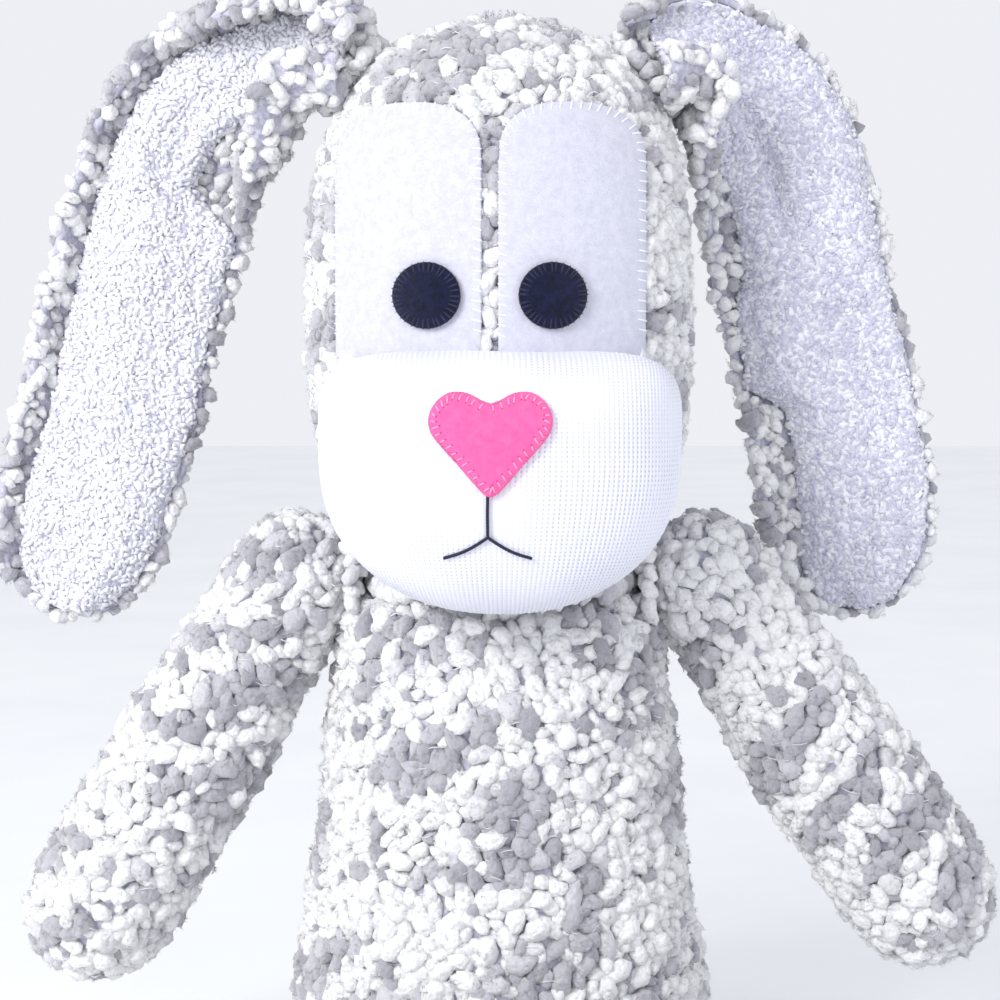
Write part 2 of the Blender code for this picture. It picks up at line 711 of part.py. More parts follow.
def build_tail(torso_points):
    start = Vector((0, TORSO_HALF_WIDTH * 2, TAIL_HEIGHT))
    pivot, touch = press_against(torso_points, start, Vector((0, -1, 0)), TAIL_RADIUS + GAP)
    profile = egg_profile(TAIL_RADIUS, TAIL_RADIUS * 2, 2.0, 2.0, TAIL_RADIUS * 0.3, 8)
    away = (pivot - touch).normalized()
    far_pole = pivot + away * TAIL_RADIUS
    shell = turned_shell(profile, FABRIC, far_pole, -away)
    finish_object("tail_skin", shell, "popcorn_fabric")
    core = turned_solid(inset_profile(profile, FABRIC + GAP), far_pole, -away)
    finish_object("tail_stuffing", core, "fibre_filling")
    sewn_ring("tail_seam_thread", pivot, TAIL_RADIUS, -away, TAIL_RING)


def build_neck(turn_joint):
    """The thread that gathers and sews the neck, lying on the torso's shoulder."""
    profile = torso_profile()
    steps = 200
    heights = [TORSO_HEIGHT * k / steps for k in range(steps)]
    seat = max(height for height in heights if profile_radius(profile, height) >= NECK_RING_RADIUS)
    middle = Vector((0, 0, seat + THREAD + NECK_RING_STANDOFF))
    thread_ring("neck_seam_thread", middle, Vector((0, 0, 1)), NECK_RING_RADIUS, turn_joint, 24)


def main():
    clear_scene()
    torso_points = surface_samples(torso_profile(), 0.0, TORSO_ROUNDNESS)
    root = joint_empty("seat", Vector((0, 0, 0)))
    build_torso()
    build_tail(torso_points)
    neck = Vector((0, 0, NECK_Z + NECK_GAP / 2))
    turn_joint = joint_empty("neck_turn", neck, root)
    head_joint = joint_empty("neck_nod", neck, turn_joint)
    build_neck(turn_joint)
    build_head(head_joint)
    build_muzzle(head_joint)
    build_face(head_joint)
    for side in SIDES:
        build_ear(side, head_joint)
        build_arm(side, torso_points, root)
        build_leg(side, torso_points, root)


main()
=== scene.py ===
"""Seated sock rabbit: looped-yarn body, curly-pile ears, knitted muzzle, felt face."""

import json
import math

import bmesh
import bpy
import numpy as np
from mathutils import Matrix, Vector, noise
from mathutils.bvhtree import BVHTree
from mathutils.kdtree import KDTree


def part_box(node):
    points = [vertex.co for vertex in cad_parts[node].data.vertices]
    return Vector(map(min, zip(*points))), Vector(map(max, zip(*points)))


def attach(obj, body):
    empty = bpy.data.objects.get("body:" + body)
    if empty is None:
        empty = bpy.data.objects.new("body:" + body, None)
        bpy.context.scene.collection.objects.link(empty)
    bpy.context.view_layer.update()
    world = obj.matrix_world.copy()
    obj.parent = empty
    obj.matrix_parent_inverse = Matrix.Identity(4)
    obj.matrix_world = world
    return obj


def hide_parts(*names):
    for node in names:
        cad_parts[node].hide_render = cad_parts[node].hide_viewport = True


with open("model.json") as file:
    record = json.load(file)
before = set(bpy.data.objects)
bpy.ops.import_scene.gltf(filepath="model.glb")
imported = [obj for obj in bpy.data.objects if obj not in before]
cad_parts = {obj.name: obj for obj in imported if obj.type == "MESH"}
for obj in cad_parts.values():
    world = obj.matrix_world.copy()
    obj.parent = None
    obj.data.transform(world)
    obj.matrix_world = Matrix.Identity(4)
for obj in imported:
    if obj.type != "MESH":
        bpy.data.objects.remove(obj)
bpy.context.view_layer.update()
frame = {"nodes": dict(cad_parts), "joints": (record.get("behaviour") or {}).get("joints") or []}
MM = 0.001

# ------------------------------------------------------------------ tools


def to_linear(hex_colour):
    """An sRGB hex colour as linear RGBA."""
    channels = [int(hex_colour[i : i + 2], 16) / 255 for i in (1, 3, 5)]
    bent = [c / 12.92 if c <= 0.04045 else ((c + 0.055) / 1.055) ** 2.4 for c in channels]
    return (*bent, 1.0)


def deselect():
    if bpy.context.mode != "OBJECT":
        bpy.ops.object.mode_set(mode="OBJECT")
    bpy.ops.object.select_all(action="DESELECT")


def make_active(obj):
    deselect()
    obj.select_set(True)
    bpy.context.view_layer.objects.active = obj


def apply_modifiers(obj):
    make_active(obj)
    for modifier in list(obj.modifiers):
        bpy.ops.object.modifier_apply(modifier=modifier.name)


def mesh_piece(name, points, faces):
    """A new object from points and faces of any size."""
    mesh = bpy.data.meshes.new(name)
    mesh.from_pydata([tuple(p) for p in points], [], [tuple(f) for f in faces])
    mesh.update()
    obj = bpy.data.objects.new(name, mesh)
    bpy.context.scene.collection.objects.link(obj)
    return obj


def face_outwards(obj):
    work = bmesh.new()
    work.from_mesh(obj.data)
    bmesh.ops.remove_doubles(work, verts=work.verts, dist=1e-6)
    bmesh.ops.recalc_face_normals(work, faces=work.faces)
    work.to_mesh(obj.data)
    work.free()
    obj.data.shade_smooth()


def tube_faces(rows, sides, base=0, closed=False):
    """Quads between rows of points that go round a tube; closed joins the last row to the first."""
    faces = []
    for k in range(rows if closed else rows - 1):
        for s in range(sides):
            a, b = base + k * sides + s, base + k * sides + (s + 1) % sides
            if closed:
                ahead = ((k + 1) % rows) * sides
                faces.append((a, b, base + ahead + (s + 1) % sides, base + ahead + s))
            else:
                faces.append((a, b, b + sides, a + sides))
    return faces


def curve_between(p0, p1, p2, p3, t):
    """A smooth curve from p1 to p2 that its neighbours steer."""
    return 0.5 * ((2 * p1) + (p2 - p0) * t + (2 * p0 - 5 * p1 + 4 * p2 - p3) * t**2
                  + (3 * p1 - p0 - 3 * p2 + p3) * t**3)


def points_of(mesh):
    flat = np.empty(len(mesh.vertices) * 3, np.float32)
    mesh.vertices.foreach_get("co", flat)
    return flat.reshape(-1, 3).astype(np.float64)


def normals_of(mesh):
    flat = np.empty(len(mesh.vertices) * 3, np.float32)
    mesh.vertices.foreach_get("normal", flat)
    return flat.reshape(-1, 3).astype(np.float64)


def move_points(mesh, points):
    mesh.vertices.foreach_set("co", np.asarray(points, np.float32).ravel())
    mesh.update()


def dress(obj, material, body, slot, *stands_for):
    """Gives a finished piece its material, its body and the CAD nodes that it stands for."""
    obj.data.materials.clear()
    obj.data.materials.append(material)
    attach(obj, body)
    if stands_for:
        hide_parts(*stands_for)
    return obj


def surface_tree(obj):
    mesh = obj.data
    return BVHTree.FromPolygons([v.co.copy() for v in mesh.vertices], [p.vertices[:] for p in mesh.polygons])


# ------------------------------------------------------------------ materials


def new_material(name):
    made = bpy.data.materials.new(name)
    made.use_nodes = True
    made.node_tree.nodes.clear()
    return made.node_tree, made


def add(tree, kind, settings=None, links=None):
    """Adds one shader node: settings are its properties and unlinked inputs, links its linked inputs."""
    node = tree.nodes.new(kind)
    for key, value in (settings or {}).items():
        if isinstance(key, int) or key in node.inputs:
            node.inputs[key].default_value = value
        else:
            setattr(node, key, value)
    for key, source in (links or {}).items():
        tree.links.new(source, node.inputs[key])
    return node


def finish_material(tree, colour, bump, settings):
    shader = add(tree, "ShaderNodeBsdfPrincipled", settings, {"Base Color": colour, "Normal": bump})
    add(tree, "ShaderNodeOutputMaterial", None, {"Surface": shader.outputs[0]})


def ramp(tree, factor, stops):
    node = add(tree, "ShaderNodeValToRGB", None, {"Fac": factor})
    elements = node.color_ramp.elements
    while len(elements) < len(stops):
        elements.new(0.5)
    for element, (at, colour) in zip(elements, stops):
        element.position = at
        element.color = to_linear(colour)
    return node.outputs["Color"]


def popcorn_yarn_material():
    """Space-dyed popcorn chenille yarn, knitted: soft white and grey puffs with a fine fibre surface."""
    tree, made = new_material("popcorn_chenille_yarn")
    yarn = add(tree, "ShaderNodeAttribute", {"attribute_name": "yarn"})
    split = add(tree, "ShaderNodeSeparateColor", None, {0: yarn.outputs["Color"]})
    dyed = ramp(tree, split.outputs[0], [(0.0, "#a9a8b0"), (0.26, "#c6c5cc"), (0.50, "#f6f6f7"), (1.0, "#ffffff")])
    place = add(tree, "ShaderNodeTexCoord")
    # crumpled chenille about 1 mm across, with finer fibres in it, fluffs each puff
    fluff = add(tree, "ShaderNodeTexNoise", {"Scale": 800.0, "Detail": 5.0, "Roughness": 0.75, "Distortion": 0.6},
                {"Vector": place.outputs["Object"]})
    mottled = add(tree, "ShaderNodeMix", {"data_type": "RGBA", "blend_type": "MULTIPLY", 0: 0.16},
                  {6: dyed, 7: ramp(tree, fluff.outputs["Fac"], [(0.3, "#b4b2c0"), (0.62, "#ffffff")])})
    # painted shade: each puff is darkened towards its base by the yarn attribute's depth, as strongly as its green
    # channel says, to stand in for the shade between the puffs
    painted_root_shade = add(tree, "ShaderNodeMix", {"data_type": "RGBA", "blend_type": "MULTIPLY"},
                 {0: split.outputs[1], 6: mottled.outputs[2],
                  7: ramp(tree, split.outputs[2], [(0.0, "#b4b2c6"), (0.7, "#ffffff")])})
    # small lobes, so that a puff is a cluster and not a pebble
    lobes = add(tree, "ShaderNodeTexVoronoi", {"feature": "SMOOTH_F1", "Scale": 620.0, "Smoothness": 0.4},
                {"Vector": place.outputs["Object"]})
    height = add(tree, "ShaderNodeMath", {"operation": "MULTIPLY_ADD", 1: -1.3},
                 {0: lobes.outputs["Distance"], 2: fluff.outputs["Fac"]})
    bump = add(tree, "ShaderNodeBump", {"Strength": 0.75, "Distance": 0.0009}, {"Height": height.outputs[0]})
    finish_material(tree, painted_root_shade.outputs[2], bump.outputs[0], {
        "Roughness": 0.95, "Specular IOR Level": 0.15, "Sheen Weight": 0.8, "Sheen Roughness": 0.55,
        "Subsurface Weight": 0.12, "Subsurface Radius": (0.002, 0.002, 0.002), "Subsurface Scale": 1.0})
    return made


def ground_knit_material():
    """The knit that carries the puffs: fine stocking stitch, seen only in the gaps, its lavender-grey partly its own
    colour and partly painted shade of the gaps.
    """
    tree, made = new_material("ground_knit")
    place = add(tree, "ShaderNodeTexCoord")
    loops = add(tree, "ShaderNodeTexNoise", {"Scale": 520.0, "Detail": 4.0, "Roughness": 0.65},
                {"Vector": place.outputs["Object"]})
    # partly painted shade: the ground is made darker than the yarn to stand in for the shade in the gaps between the
    # puffs
    colour = ramp(tree, loops.outputs["Fac"], [(0.32, "#9c9bb0"), (0.66, "#d2d1de")])
    bump = add(tree, "ShaderNodeBump", {"Strength": 0.7, "Distance": 0.0008}, {"Height": loops.outputs["Fac"]})
    finish_material(tree, colour, bump.outputs[0], {"Roughness": 0.9, "Sheen Weight": 0.2})
    return made


def curly_pile_material():
    """Curly microfibre pile of a fluffy sock: pale lavender-grey loops, with painted shade that darkens each loop
    towards its root, between the loops.
    """
    tree, made = new_material("curly_microfibre_pile")
    yarn = add(tree, "ShaderNodeAttribute", {"attribute_name": "yarn"})
    split = add(tree, "ShaderNodeSeparateColor", None, {0: yarn.outputs["Color"]})
    tint = ramp(tree, split.outputs[0], [(0.0, "#dfdfe9"), (1.0, "#f1f1f7")])
    place = add(tree, "ShaderNodeTexCoord")
    fluff = add(tree, "ShaderNodeTexNoise", {"Scale": 2400.0, "Detail": 2.0}, {"Vector": place.outputs["Object"]})
    # painted shade: each loop is darkened towards its root by the yarn attribute's depth, to stand in for the shade
    # between the loops
    painted_root_shade = add(tree, "ShaderNodeMix", {"data_type": "RGBA", "blend_type": "MULTIPLY", 0: 1.0},
                 {6: tint, 7: ramp(tree, split.outputs[2], [(0.0, "#dcdbe8"), (0.5, "#ffffff")])})
    bump = add(tree, "ShaderNodeBump", {"Strength": 0.5, "Distance": 0.0003}, {"Height": fluff.outputs["Fac"]})
    finish_material(tree, painted_root_shade.outputs[2], bump.outputs[0], {
        "Roughness": 0.85, "Specular IOR Level": 0.25, "Sheen Weight": 0.4, "Sheen Roughness": 0.4,
        "Subsurface Weight": 0.1, "Subsurface Radius": (0.001, 0.001, 0.001), "Subsurface Scale": 1.0})
    return made


def sock_knit_material():
    """Plain cotton sock, stocking stitch: ribs of V stitches 1.6 mm wide with a pinhole at each stitch."""
    tree, made = new_material("cotton_stocking_stitch")
    knit = add(tree, "ShaderNodeAttribute", {"attribute_name": "knit"})
    split = add(tree, "ShaderNodeSeparateXYZ", None, {0: knit.outputs["Vector"]})
    twice_pi = 2 * math.pi

    def wave(value, shift):
        turned = add(tree, "ShaderNodeMath", {"operation": "MULTIPLY_ADD", 1: twice_pi, 2: shift}, {0: value})
        return add(tree, "ShaderNodeMath", {"operation": "COSINE"}, {0: turned.outputs[0]}).outputs[0]

    across = wave(split.outputs[0], 0.0)
    along = wave(split.outputs[1], 0.0)
    pin = add(tree, "ShaderNodeMath", {"operation": "MULTIPLY_ADD", 1: 0.5}, {0: along, 2: across})
    hole = add(tree, "ShaderNodeMapRange", {"From Min": -1.5, "From Max": -0.6, "To Min": 0.0, "To Max": 1.0},
               {"Value": pin.outputs[0]})
    # painted highlight and shade: the blue-grey at each pinhole is painted shade in the hole, and the knit
    # attribute's third value fades it to pale on the upper left, where the light falls, and keeps it on the lower
    # right, which lies in shade
    pale = add(tree, "ShaderNodeMix", {"data_type": "FLOAT", 2: 1.0}, {0: split.outputs[2], 3: hole.outputs[0]})
    colour = ramp(tree, pale.outputs[0], [(0.0, "#bcbdd8"), (1.0, "#e9eaf4")])
    height = add(tree, "ShaderNodeMath", {"operation": "MULTIPLY_ADD", 1: 0.5}, {0: across, 2: hole.outputs[0]})
    bump = add(tree, "ShaderNodeBump", {"Strength": 0.35, "Distance": 0.0003}, {"Height": height.outputs[0]})
    finish_material(tree, colour, bump.outputs[0], {
        "Roughness": 0.85, "Specular IOR Level": 0.2, "Sheen Weight": 0.15})
    return made


def felt_material(name, dark, light, fibre):
    """Pressed wool-blend felt: matt, with short matted fibres and a faint mottle."""
    tree, made = new_material(name)
    place = add(tree, "ShaderNodeTexCoord")
    mottle = add(tree, "ShaderNodeTexNoise", {"Scale": 420.0, "Detail": 6.0, "Roughness": 0.75},
                 {"Vector": place.outputs["Object"]})
    fibres = add(tree, "ShaderNodeTexNoise", {"Scale": 1700.0, "Detail": 4.0, "Roughness": 0.8, "Distortion": 2.0},
                 {"Vector": place.outputs["Object"]})
    colour = ramp(tree, mottle.outputs["Fac"], [(0.35, dark), (0.65, light)])
    bump = add(tree, "ShaderNodeBump", {"Strength": fibre, "Distance": 0.0004}, {"Height": fibres.outputs["Fac"]})
    finish_material(tree, colour, bump.outputs[0], {
        "Roughness": 0.95, "Specular IOR Level": 0.1, "Sheen Weight": 0.25, "Sheen Roughness": 0.5})
    return made


def thread_material(name, colour, sheen_roughness, twist_per_mm):
    """Twisted sewing or embroidery thread: fine diagonal ply lines and a soft gloss."""
    tree, made = new_material(name)
    place = add(tree, "ShaderNodeTexCoord")
    ply = add(tree, "ShaderNodeTexWave", {"wave_type": "BANDS", "bands_direction": "DIAGONAL",
              "Scale": twist_per_mm * 1000 / 6.0, "Distortion": 0.4}, {"Vector": place.outputs["Object"]})
    bump = add(tree, "ShaderNodeBump", {"Strength": 0.5, "Distance": 0.0002}, {"Height": ply.outputs["Fac"]})
    shader = add(tree, "ShaderNodeBsdfPrincipled", {"Base Color": to_linear(colour), "Roughness": sheen_roughness,
                 "Specular IOR Level": 0.5, "Sheen Weight": 0.2}, {"Normal": bump.outputs[0]})
    add(tree, "ShaderNodeOutputMaterial", None, {"Surface": shader.outputs[0]})
    return made


POPCORN = popcorn_yarn_material()
GROUND = ground_knit_material()
PILE = curly_pile_material()
SOCK_KNIT = sock_knit_material()
WHITE_FELT = felt_material("white_felt", "#cfcfdf", "#dfdfec", 0.75)
NAVY_FELT = felt_material("navy_felt", "#0a0e20", "#171d3e", 0.7)
PINK_FELT = felt_material("pink_felt", "#f05c9c", "#f56ea9", 0.5)
WHITE_THREAD = thread_material("white_sewing_thread", "#f4f4fb", 0.5, 1.2)
PINK_THREAD = thread_material("pink_sewing_thread", "#fd94c4", 0.45, 1.2)
NAVY_THREAD = thread_material("navy_embroidery_floss", "#0e1136", 0.75, 1.0)
BINDER = thread_material("nylon_binder_thread", "#f2f2fb", 0.25, 2.0)
SEAM_THREAD = thread_material("grey_seam_thread", "#c9c9d2", 0.5, 1.2)
# painted shade: a darker pink, used for the short bars that stand for the shade in the needle holes of the nose
NEEDLE_HOLE_SHADE = thread_material("pink_needle_hole_shade", "#cc3579", 0.9, 1.0)


def filling_material():
    """Loose polyester fibre: white, cloudy and matt."""
    tree, made = new_material("polyester_fibrefill")
    place = add(tree, "ShaderNodeTexCoord")
    cloud = add(tree, "ShaderNodeTexNoise", {"Scale": 240.0, "Detail": 8.0, "Roughness": 0.7},
                {"Vector": place.outputs["Object"]})
    colour = ramp(tree, cloud.outputs["Fac"], [(0.3, "#dcdcd8"), (0.7, "#fdfdfb")])
    bump = add(tree, "ShaderNodeBump", {"Strength": 0.8, "Distance": 0.002}, {"Height": cloud.outputs["Fac"]})
    finish_material(tree, colour, bump.outputs[0], {"Roughness": 1.0, "Sheen Weight": 0.5})
    return made


FILLING = filling_material()
for node_name, node in frame["nodes"].items():
    if node_name.endswith("stuffing"):
        node.data.materials[0] = FILLING
    if node_name.endswith("thread"):
        node.data.materials[0] = SEAM_THREAD

# ------------------------------------------------------------------ the stuffed skins


def stuffed_form(name, filling, swell, lump, seed, voxel=0.005, grow=0.8 * MM):
    """The knitted skin, blown up off its filling by cloth pressure so that it is tight and a little lumpy."""
    source = frame["nodes"][filling]
    obj = bpy.data.objects.new(name, source.data.copy())
    bpy.context.scene.collection.objects.link(obj)
    face_outwards(obj)
    remesh = obj.modifiers.new("even", "REMESH")
    remesh.mode = "VOXEL"
    remesh.voxel_size = voxel
    apply_modifiers(obj)
    start = points_of(obj.data)
    cloth = obj.modifiers.new("cloth", "CLOTH")
    cloth.settings.quality = 4
    cloth.settings.use_pressure = True
    cloth.settings.uniform_pressure_force = 4.0
    cloth.settings.effector_weights.gravity = 0.0
    cloth.settings.tension_stiffness = 12.0
    cloth.point_cache.frame_start = 1
    cloth.point_cache.frame_end = 20
    for step in range(1, 21):
        bpy.context.scene.frame_set(step)
    apply_modifiers(obj)
    bpy.context.scene.frame_set(1)
    now = points_of(obj.data)
    moved = now - start
    reach = np.linalg.norm(moved, axis=1, keepdims=True)
    now = start + moved * np.minimum(1.0, swell / np.maximum(reach, 1e-9))
    normals = normals_of(obj.data)
    rise = np.array([noise.noise(Vector(p) * 38.0 + Vector((seed, 0, 0))) for p in now])
    now = now + normals * (rise * lump + grow)[:, None]
    now[:, 2] = np.maximum(now[:, 2], 0.3 * MM)  # nothing goes through the floor
    move_points(obj.data, now)
    smooth = obj.modifiers.new("even out", "SMOOTH")
    smooth.iterations = 3
    finer = obj.modifiers.new("finer", "SUBSURF")
    finer.levels = 1
    finer.render_levels = 1
    apply_modifiers(obj)
    obj.data.shade_smooth()
    return obj


def lump_shapes(count, seed, stretch, rough, bend, small):
    """One soft lump of yarn, shaped, then pulled about into a few different ones."""
    shapes = []
    for k in range(count):
        deselect()
        if small:
            bpy.ops.mesh.primitive_ico_sphere_add(subdivisions=1, radius=1.0)
        else:
            bpy.ops.mesh.primitive_cube_add(size=1.4)
        obj = bpy.context.object
        bpy.ops.object.mode_set(mode="EDIT")
        bpy.ops.mesh.select_all(action="SELECT")
        if not small:
            bpy.ops.mesh.subdivide(number_cuts=1, smoothness=0.0)
            bpy.ops.transform.tosphere(value=1.0)
        bpy.ops.mesh.normals_make_consistent(inside=False)
        bpy.ops.transform.resize(value=(stretch, 1.0, 1.0))
        bpy.ops.transform.vertex_random(offset=rough, uniform=0.0, normal=0.9, seed=seed + k)
        bpy.ops.object.mode_set(mode="OBJECT")
        points = points_of(obj.data)
        points[:, 1] += bend * (points[:, 0] ** 2 - 0.5 * stretch**2)
        faces = np.array([p.vertices[:] for p in obj.data.polygons])
        shapes.append((points, faces))
        mesh = obj.data
        bpy.data.objects.remove(obj)
        bpy.data.meshes.remove(mesh)
    return shapes


PUFFS = lump_shapes(10, 11, 1.42, 0.22, 0.18, False)
CURLS = lump_shapes(6, 41, 2.0, 0.12, 0.28, True)


def tuft_shapes(count, seed, fibres=5):
    """A tuft of loose fibres: thin pointed three-sided spikes that fan out and bow from one root."""
    shapes = []
    for k in range(count):
        chance = np.random.default_rng(seed + k)
        points, faces = [], []
        for _ in range(fibres):
            lean = np.array([chance.normal(0, 0.75), chance.normal(0, 0.75), 1.0])
            lean /= np.linalg.norm(lean)
            side = np.cross(lean, chance.normal(0, 1, 3))
            side /= np.linalg.norm(side)
            over = np.cross(lean, side)
            reach = chance.uniform(0.7, 1.25)
            root = np.array([chance.normal(0, 0.35), chance.normal(0, 0.35), 0.0])
            base = len(points)
            for turn in (0.0, 2.1, 4.2):
                points.append(root + (side * math.cos(turn) + over * math.sin(turn)) * 0.085)
            points.append(root + lean * reach + side * chance.normal(0, 0.35))
            faces += [(base, base + 1, base + 3), (base + 1, base + 2, base + 3), (base + 2, base, base + 3),
                      (base + 2, base + 1, base)]
        shapes.append((np.array(points), np.array(faces)))
    return shapes


TUFTS = tuft_shapes(6, 71)


def spots_on(obj, spacing, seed, keep=None, taken=None, clear=0.0):
    """Spots all over a surface, none nearer to another than spacing, or to one in taken than clear."""
    mesh = obj.data
    mesh.calc_loop_triangles()
    corners = np.empty(len(mesh.loop_triangles) * 3, np.int32)
    mesh.loop_triangles.foreach_get("vertices", corners)
    corners = points_of(mesh)[corners.reshape(-1, 3)]
    cross = np.cross(corners[:, 1] - corners[:, 0], corners[:, 2] - corners[:, 0])
    size = np.linalg.norm(cross, axis=1)
    out = cross / np.maximum(size, 1e-15)[:, None]
    chance = np.random.default_rng(seed)
    tries = int(size.sum() / 2 / spacing**2 * 9)
    pick = chance.choice(len(size), tries, p=size / size.sum())
    a, b = chance.random(tries), chance.random(tries)
    over = a + b > 1
    a[over], b[over] = 1 - a[over], 1 - b[over]
    spots = corners[pick, 0] * (1 - a - b)[:, None] + corners[pick, 1] * a[:, None] + corners[pick, 2] * b[:, None]
    out = out[pick]
    if keep is not None:
        wanted = keep(spots)
        spots, out = spots[wanted], out[wanted]
    if taken is not None:
        tree = KDTree(len(taken))
        for i, spot in enumerate(taken):
            tree.insert(spot, i)
        tree.balance()
        wanted = np.array([tree.find(spot)[2] > clear for spot in spots], bool)
        spots, out = spots[wanted], out[wanted]
    cells = {}
    chosen = []
    around = [(i, j, k) for i in (-1, 0, 1) for j in (-1, 0, 1) for k in (-1, 0, 1)]
    homes = np.floor(spots / spacing).astype(int).tolist()
    for i, ((x, y, z), home) in enumerate(zip(spots.tolist(), homes)):
        near = False
        for di, dj, dk in around:
            for q in cells.get((home[0] + di, home[1] + dj, home[2] + dk), ()):
                if (q[0] - x) ** 2 + (q[1] - y) ** 2 + (q[2] - z) ** 2 < spacing * spacing:
                    near = True
                    break
            if near:
                break
        if not near:
            cells.setdefault(tuple(home), []).append((x, y, z))
            chosen.append(i)
    return spots[chosen], out[chosen]


def turned_at_random(chance, out, lean):
    """A rotation for each copy: its third axis along out, leaning at random, and a random turn about it."""
    count = len(out)
    up = out + chance.normal(0, lean, (count, 3))
    up /= np.linalg.norm(up, axis=1, keepdims=True)
    side = np.cross(up, chance.normal(0, 1, (count, 3)))
    side /= np.linalg.norm(side, axis=1, keepdims=True)
    return np.stack([side, np.cross(up, side), up], axis=2)


def scatter(name, shapes, spots, out, sizes, flatness, yarn, seed, lean=0.35, lift=0.0, floor=None):
    """One mesh of many copies. yarn is each copy's white share; the shader also gets depth along out, from which it
    paints shade towards each copy's base.
    """
    chance = np.random.default_rng(seed)
    turns = turned_at_random(chance, out, lean)
    which = chance.integers(0, len(shapes), len(spots))
    all_points, all_faces, all_colours = [], [], []
    base = 0
    for k, (points, faces) in enumerate(shapes):
        rows = np.flatnonzero(which == k)
        size = sizes[rows]
        scale = np.stack([size, size * chance.uniform(0.8, 1.0, len(rows)), size * flatness], axis=1)
        local = points[None] * scale[:, None]
        world = np.einsum("nij,nvj->nvi", turns[rows], local)
        depth = np.einsum("nvi,ni->nv", world, out[rows])
        depth = (depth / sizes[rows, None] + 1) / 2
        world += (spots[rows] + out[rows] * lift)[:, None]
        colour = np.ones((*depth.shape, 4))
        colour[..., 0] = np.clip(yarn[rows, None], 0, 1)
        # green: how strongly the popcorn shader paints shade at the base; blue: depth, 0 at the base, for that
        # painted shade
        colour[..., 1] = 0.55
        colour[..., 2] = np.clip(depth, 0, 1)
        offset = base + np.arange(len(rows))[:, None, None] * len(points)
        all_faces.append((faces[None] + offset).reshape(-1, faces.shape[1]))
        all_points.append(world.reshape(-1, 3))
        all_colours.append(colour.reshape(-1, 4))
        base += len(rows) * len(points)
    points = np.concatenate(all_points)
    if floor is not None:
        points[:, 2] = np.maximum(points[:, 2], floor)
    faces = np.concatenate(all_faces)
    mesh = bpy.data.meshes.new(name)
    mesh.vertices.add(len(points))
    mesh.vertices.foreach_set("co", points.astype(np.float32).ravel())
    mesh.loops.add(faces.size)
    mesh.loops.foreach_set("vertex_index", faces.astype(np.int32).ravel())
    mesh.polygons.add(len(faces))
    mesh.polygons.foreach_set("loop_start", np.arange(0, faces.size, faces.shape[1], dtype=np.int32))
    mesh.polygons.foreach_set("loop_total", np.full(len(faces), faces.shape[1], np.int32))
    mesh.update(calc_edges=True)
    mesh.validate()
    attribute = mesh.color_attributes.new("yarn", "FLOAT_COLOR", "POINT")
    attribute.data.foreach_set("color", np.concatenate(all_colours).astype(np.float32).ravel())
    mesh.shade_smooth()
    obj = bpy.data.objects.new(name, mesh)
    bpy.context.scene.collection.objects.link(obj)
    return obj


def away_from(tree, distance):
    """Keeps the spots that are further than distance from a surface."""
    return lambda spots: np.array([tree.find_nearest(Vector(p), distance)[0] is None for p in spots], bool)


def not_under(outlines):
    """Keeps the spots that no face piece covers, seen from in front."""

    def keep(spots):
        x, z = spots[:, 0], spots[:, 2]
        hidden = np.zeros(len(spots), bool)
        for outline in outlines:
            inside = np.zeros(len(spots), bool)
            ends = np.array(outline)
            for (x1, z1), (x2, z2) in zip(ends, np.roll(ends, -1, axis=0)):
                if z1 != z2:
                    cut = (z1 > z) != (z2 > z)
                    inside ^= cut & (x < x1 + (z - z1) * (x2 - x1) / (z2 - z1))
            hidden |= inside
        return ~(hidden & (spots[:, 1] < 0))

    return keep


def patches_of_colour(spots, seed, axis_from, axis_to, slant, period, wide=78.0):
    """White share of the space-dyed yarn, knitted round and round: slanting patches of white and of grey."""
    start = np.array(axis_from)
    run = np.array(axis_to) - start
    run /= np.linalg.norm(run)
    along = (spots - start) @ run
    off = spots - start - along[:, None] * run
    side = np.cross(run, [0.13, 1.0, 0.07])
    side /= np.linalg.norm(side)
    over = np.cross(side, run)
    mean = np.linalg.norm(off, axis=1).mean()
    across = np.arctan2(off @ side, -(off @ over)) * mean / MM
    along = along / MM
    share = np.empty(len(spots))
    for i, (u, v) in enumerate(zip(across, along)):
        bend = noise.noise(Vector((u / 30.0 + seed, v / 24.0, seed * 0.37)))
        share[i] = math.cos(2 * math.pi * (v + slant * u) / period + 4.0 * bend)
        share[i] += 0.7 * math.cos(2 * math.pi * (u - v * 0.6) / wide + seed)
    chance = np.random.default_rng(seed + 500)
    white = 0.10 + 0.86 / (1 + np.exp(-4.5 * (share + 0.25))) + chance.normal(0.0, 0.09, len(spots))
    strays = chance.random(len(spots)) < 0.10
    return np.where(strays, 1 - white, white)


def fuzz(name, spots, out, sizes, white, body, seed, each, floor=None):
    """Loose fibres standing off each puff, in its own colour."""
    chance = np.random.default_rng(seed)
    picked = np.repeat(np.arange(len(spots)), each)
    way = out[picked] + chance.normal(0, 0.75, (len(picked), 3))
    way /= np.linalg.norm(way, axis=1, keepdims=True)
    way[np.einsum("ij,ij->i", way, out[picked]) < -0.2] *= -1
    roots = spots[picked] + way * (sizes[picked] * 0.86)[:, None]
    reach = chance.uniform(1.0, 1.6, len(picked)) * MM
    made = scatter(name, TUFTS, roots, way, reach, 1.0, white[picked] + 0.06, seed + 1, lean=0.3, floor=floor)
    dress(made, POPCORN, body, "popcorn_fabric")


PUFF_SPACING = 5.2 * MM
SMALL_PUFF_SPACING = 2.8 * MM
SMALL_PUFF_CLEARANCE = 3.1 * MM
# name, least and most radius in mm, flatness, how far it stands off in mm, two seeds, tufts on each puff
PUFF_KINDS = (("", 2.9, 3.9, 0.86, 0.5, 900, 920, 4), ("_small", 2.0, 2.7, 0.9, 0.4, 950, 970, 2))


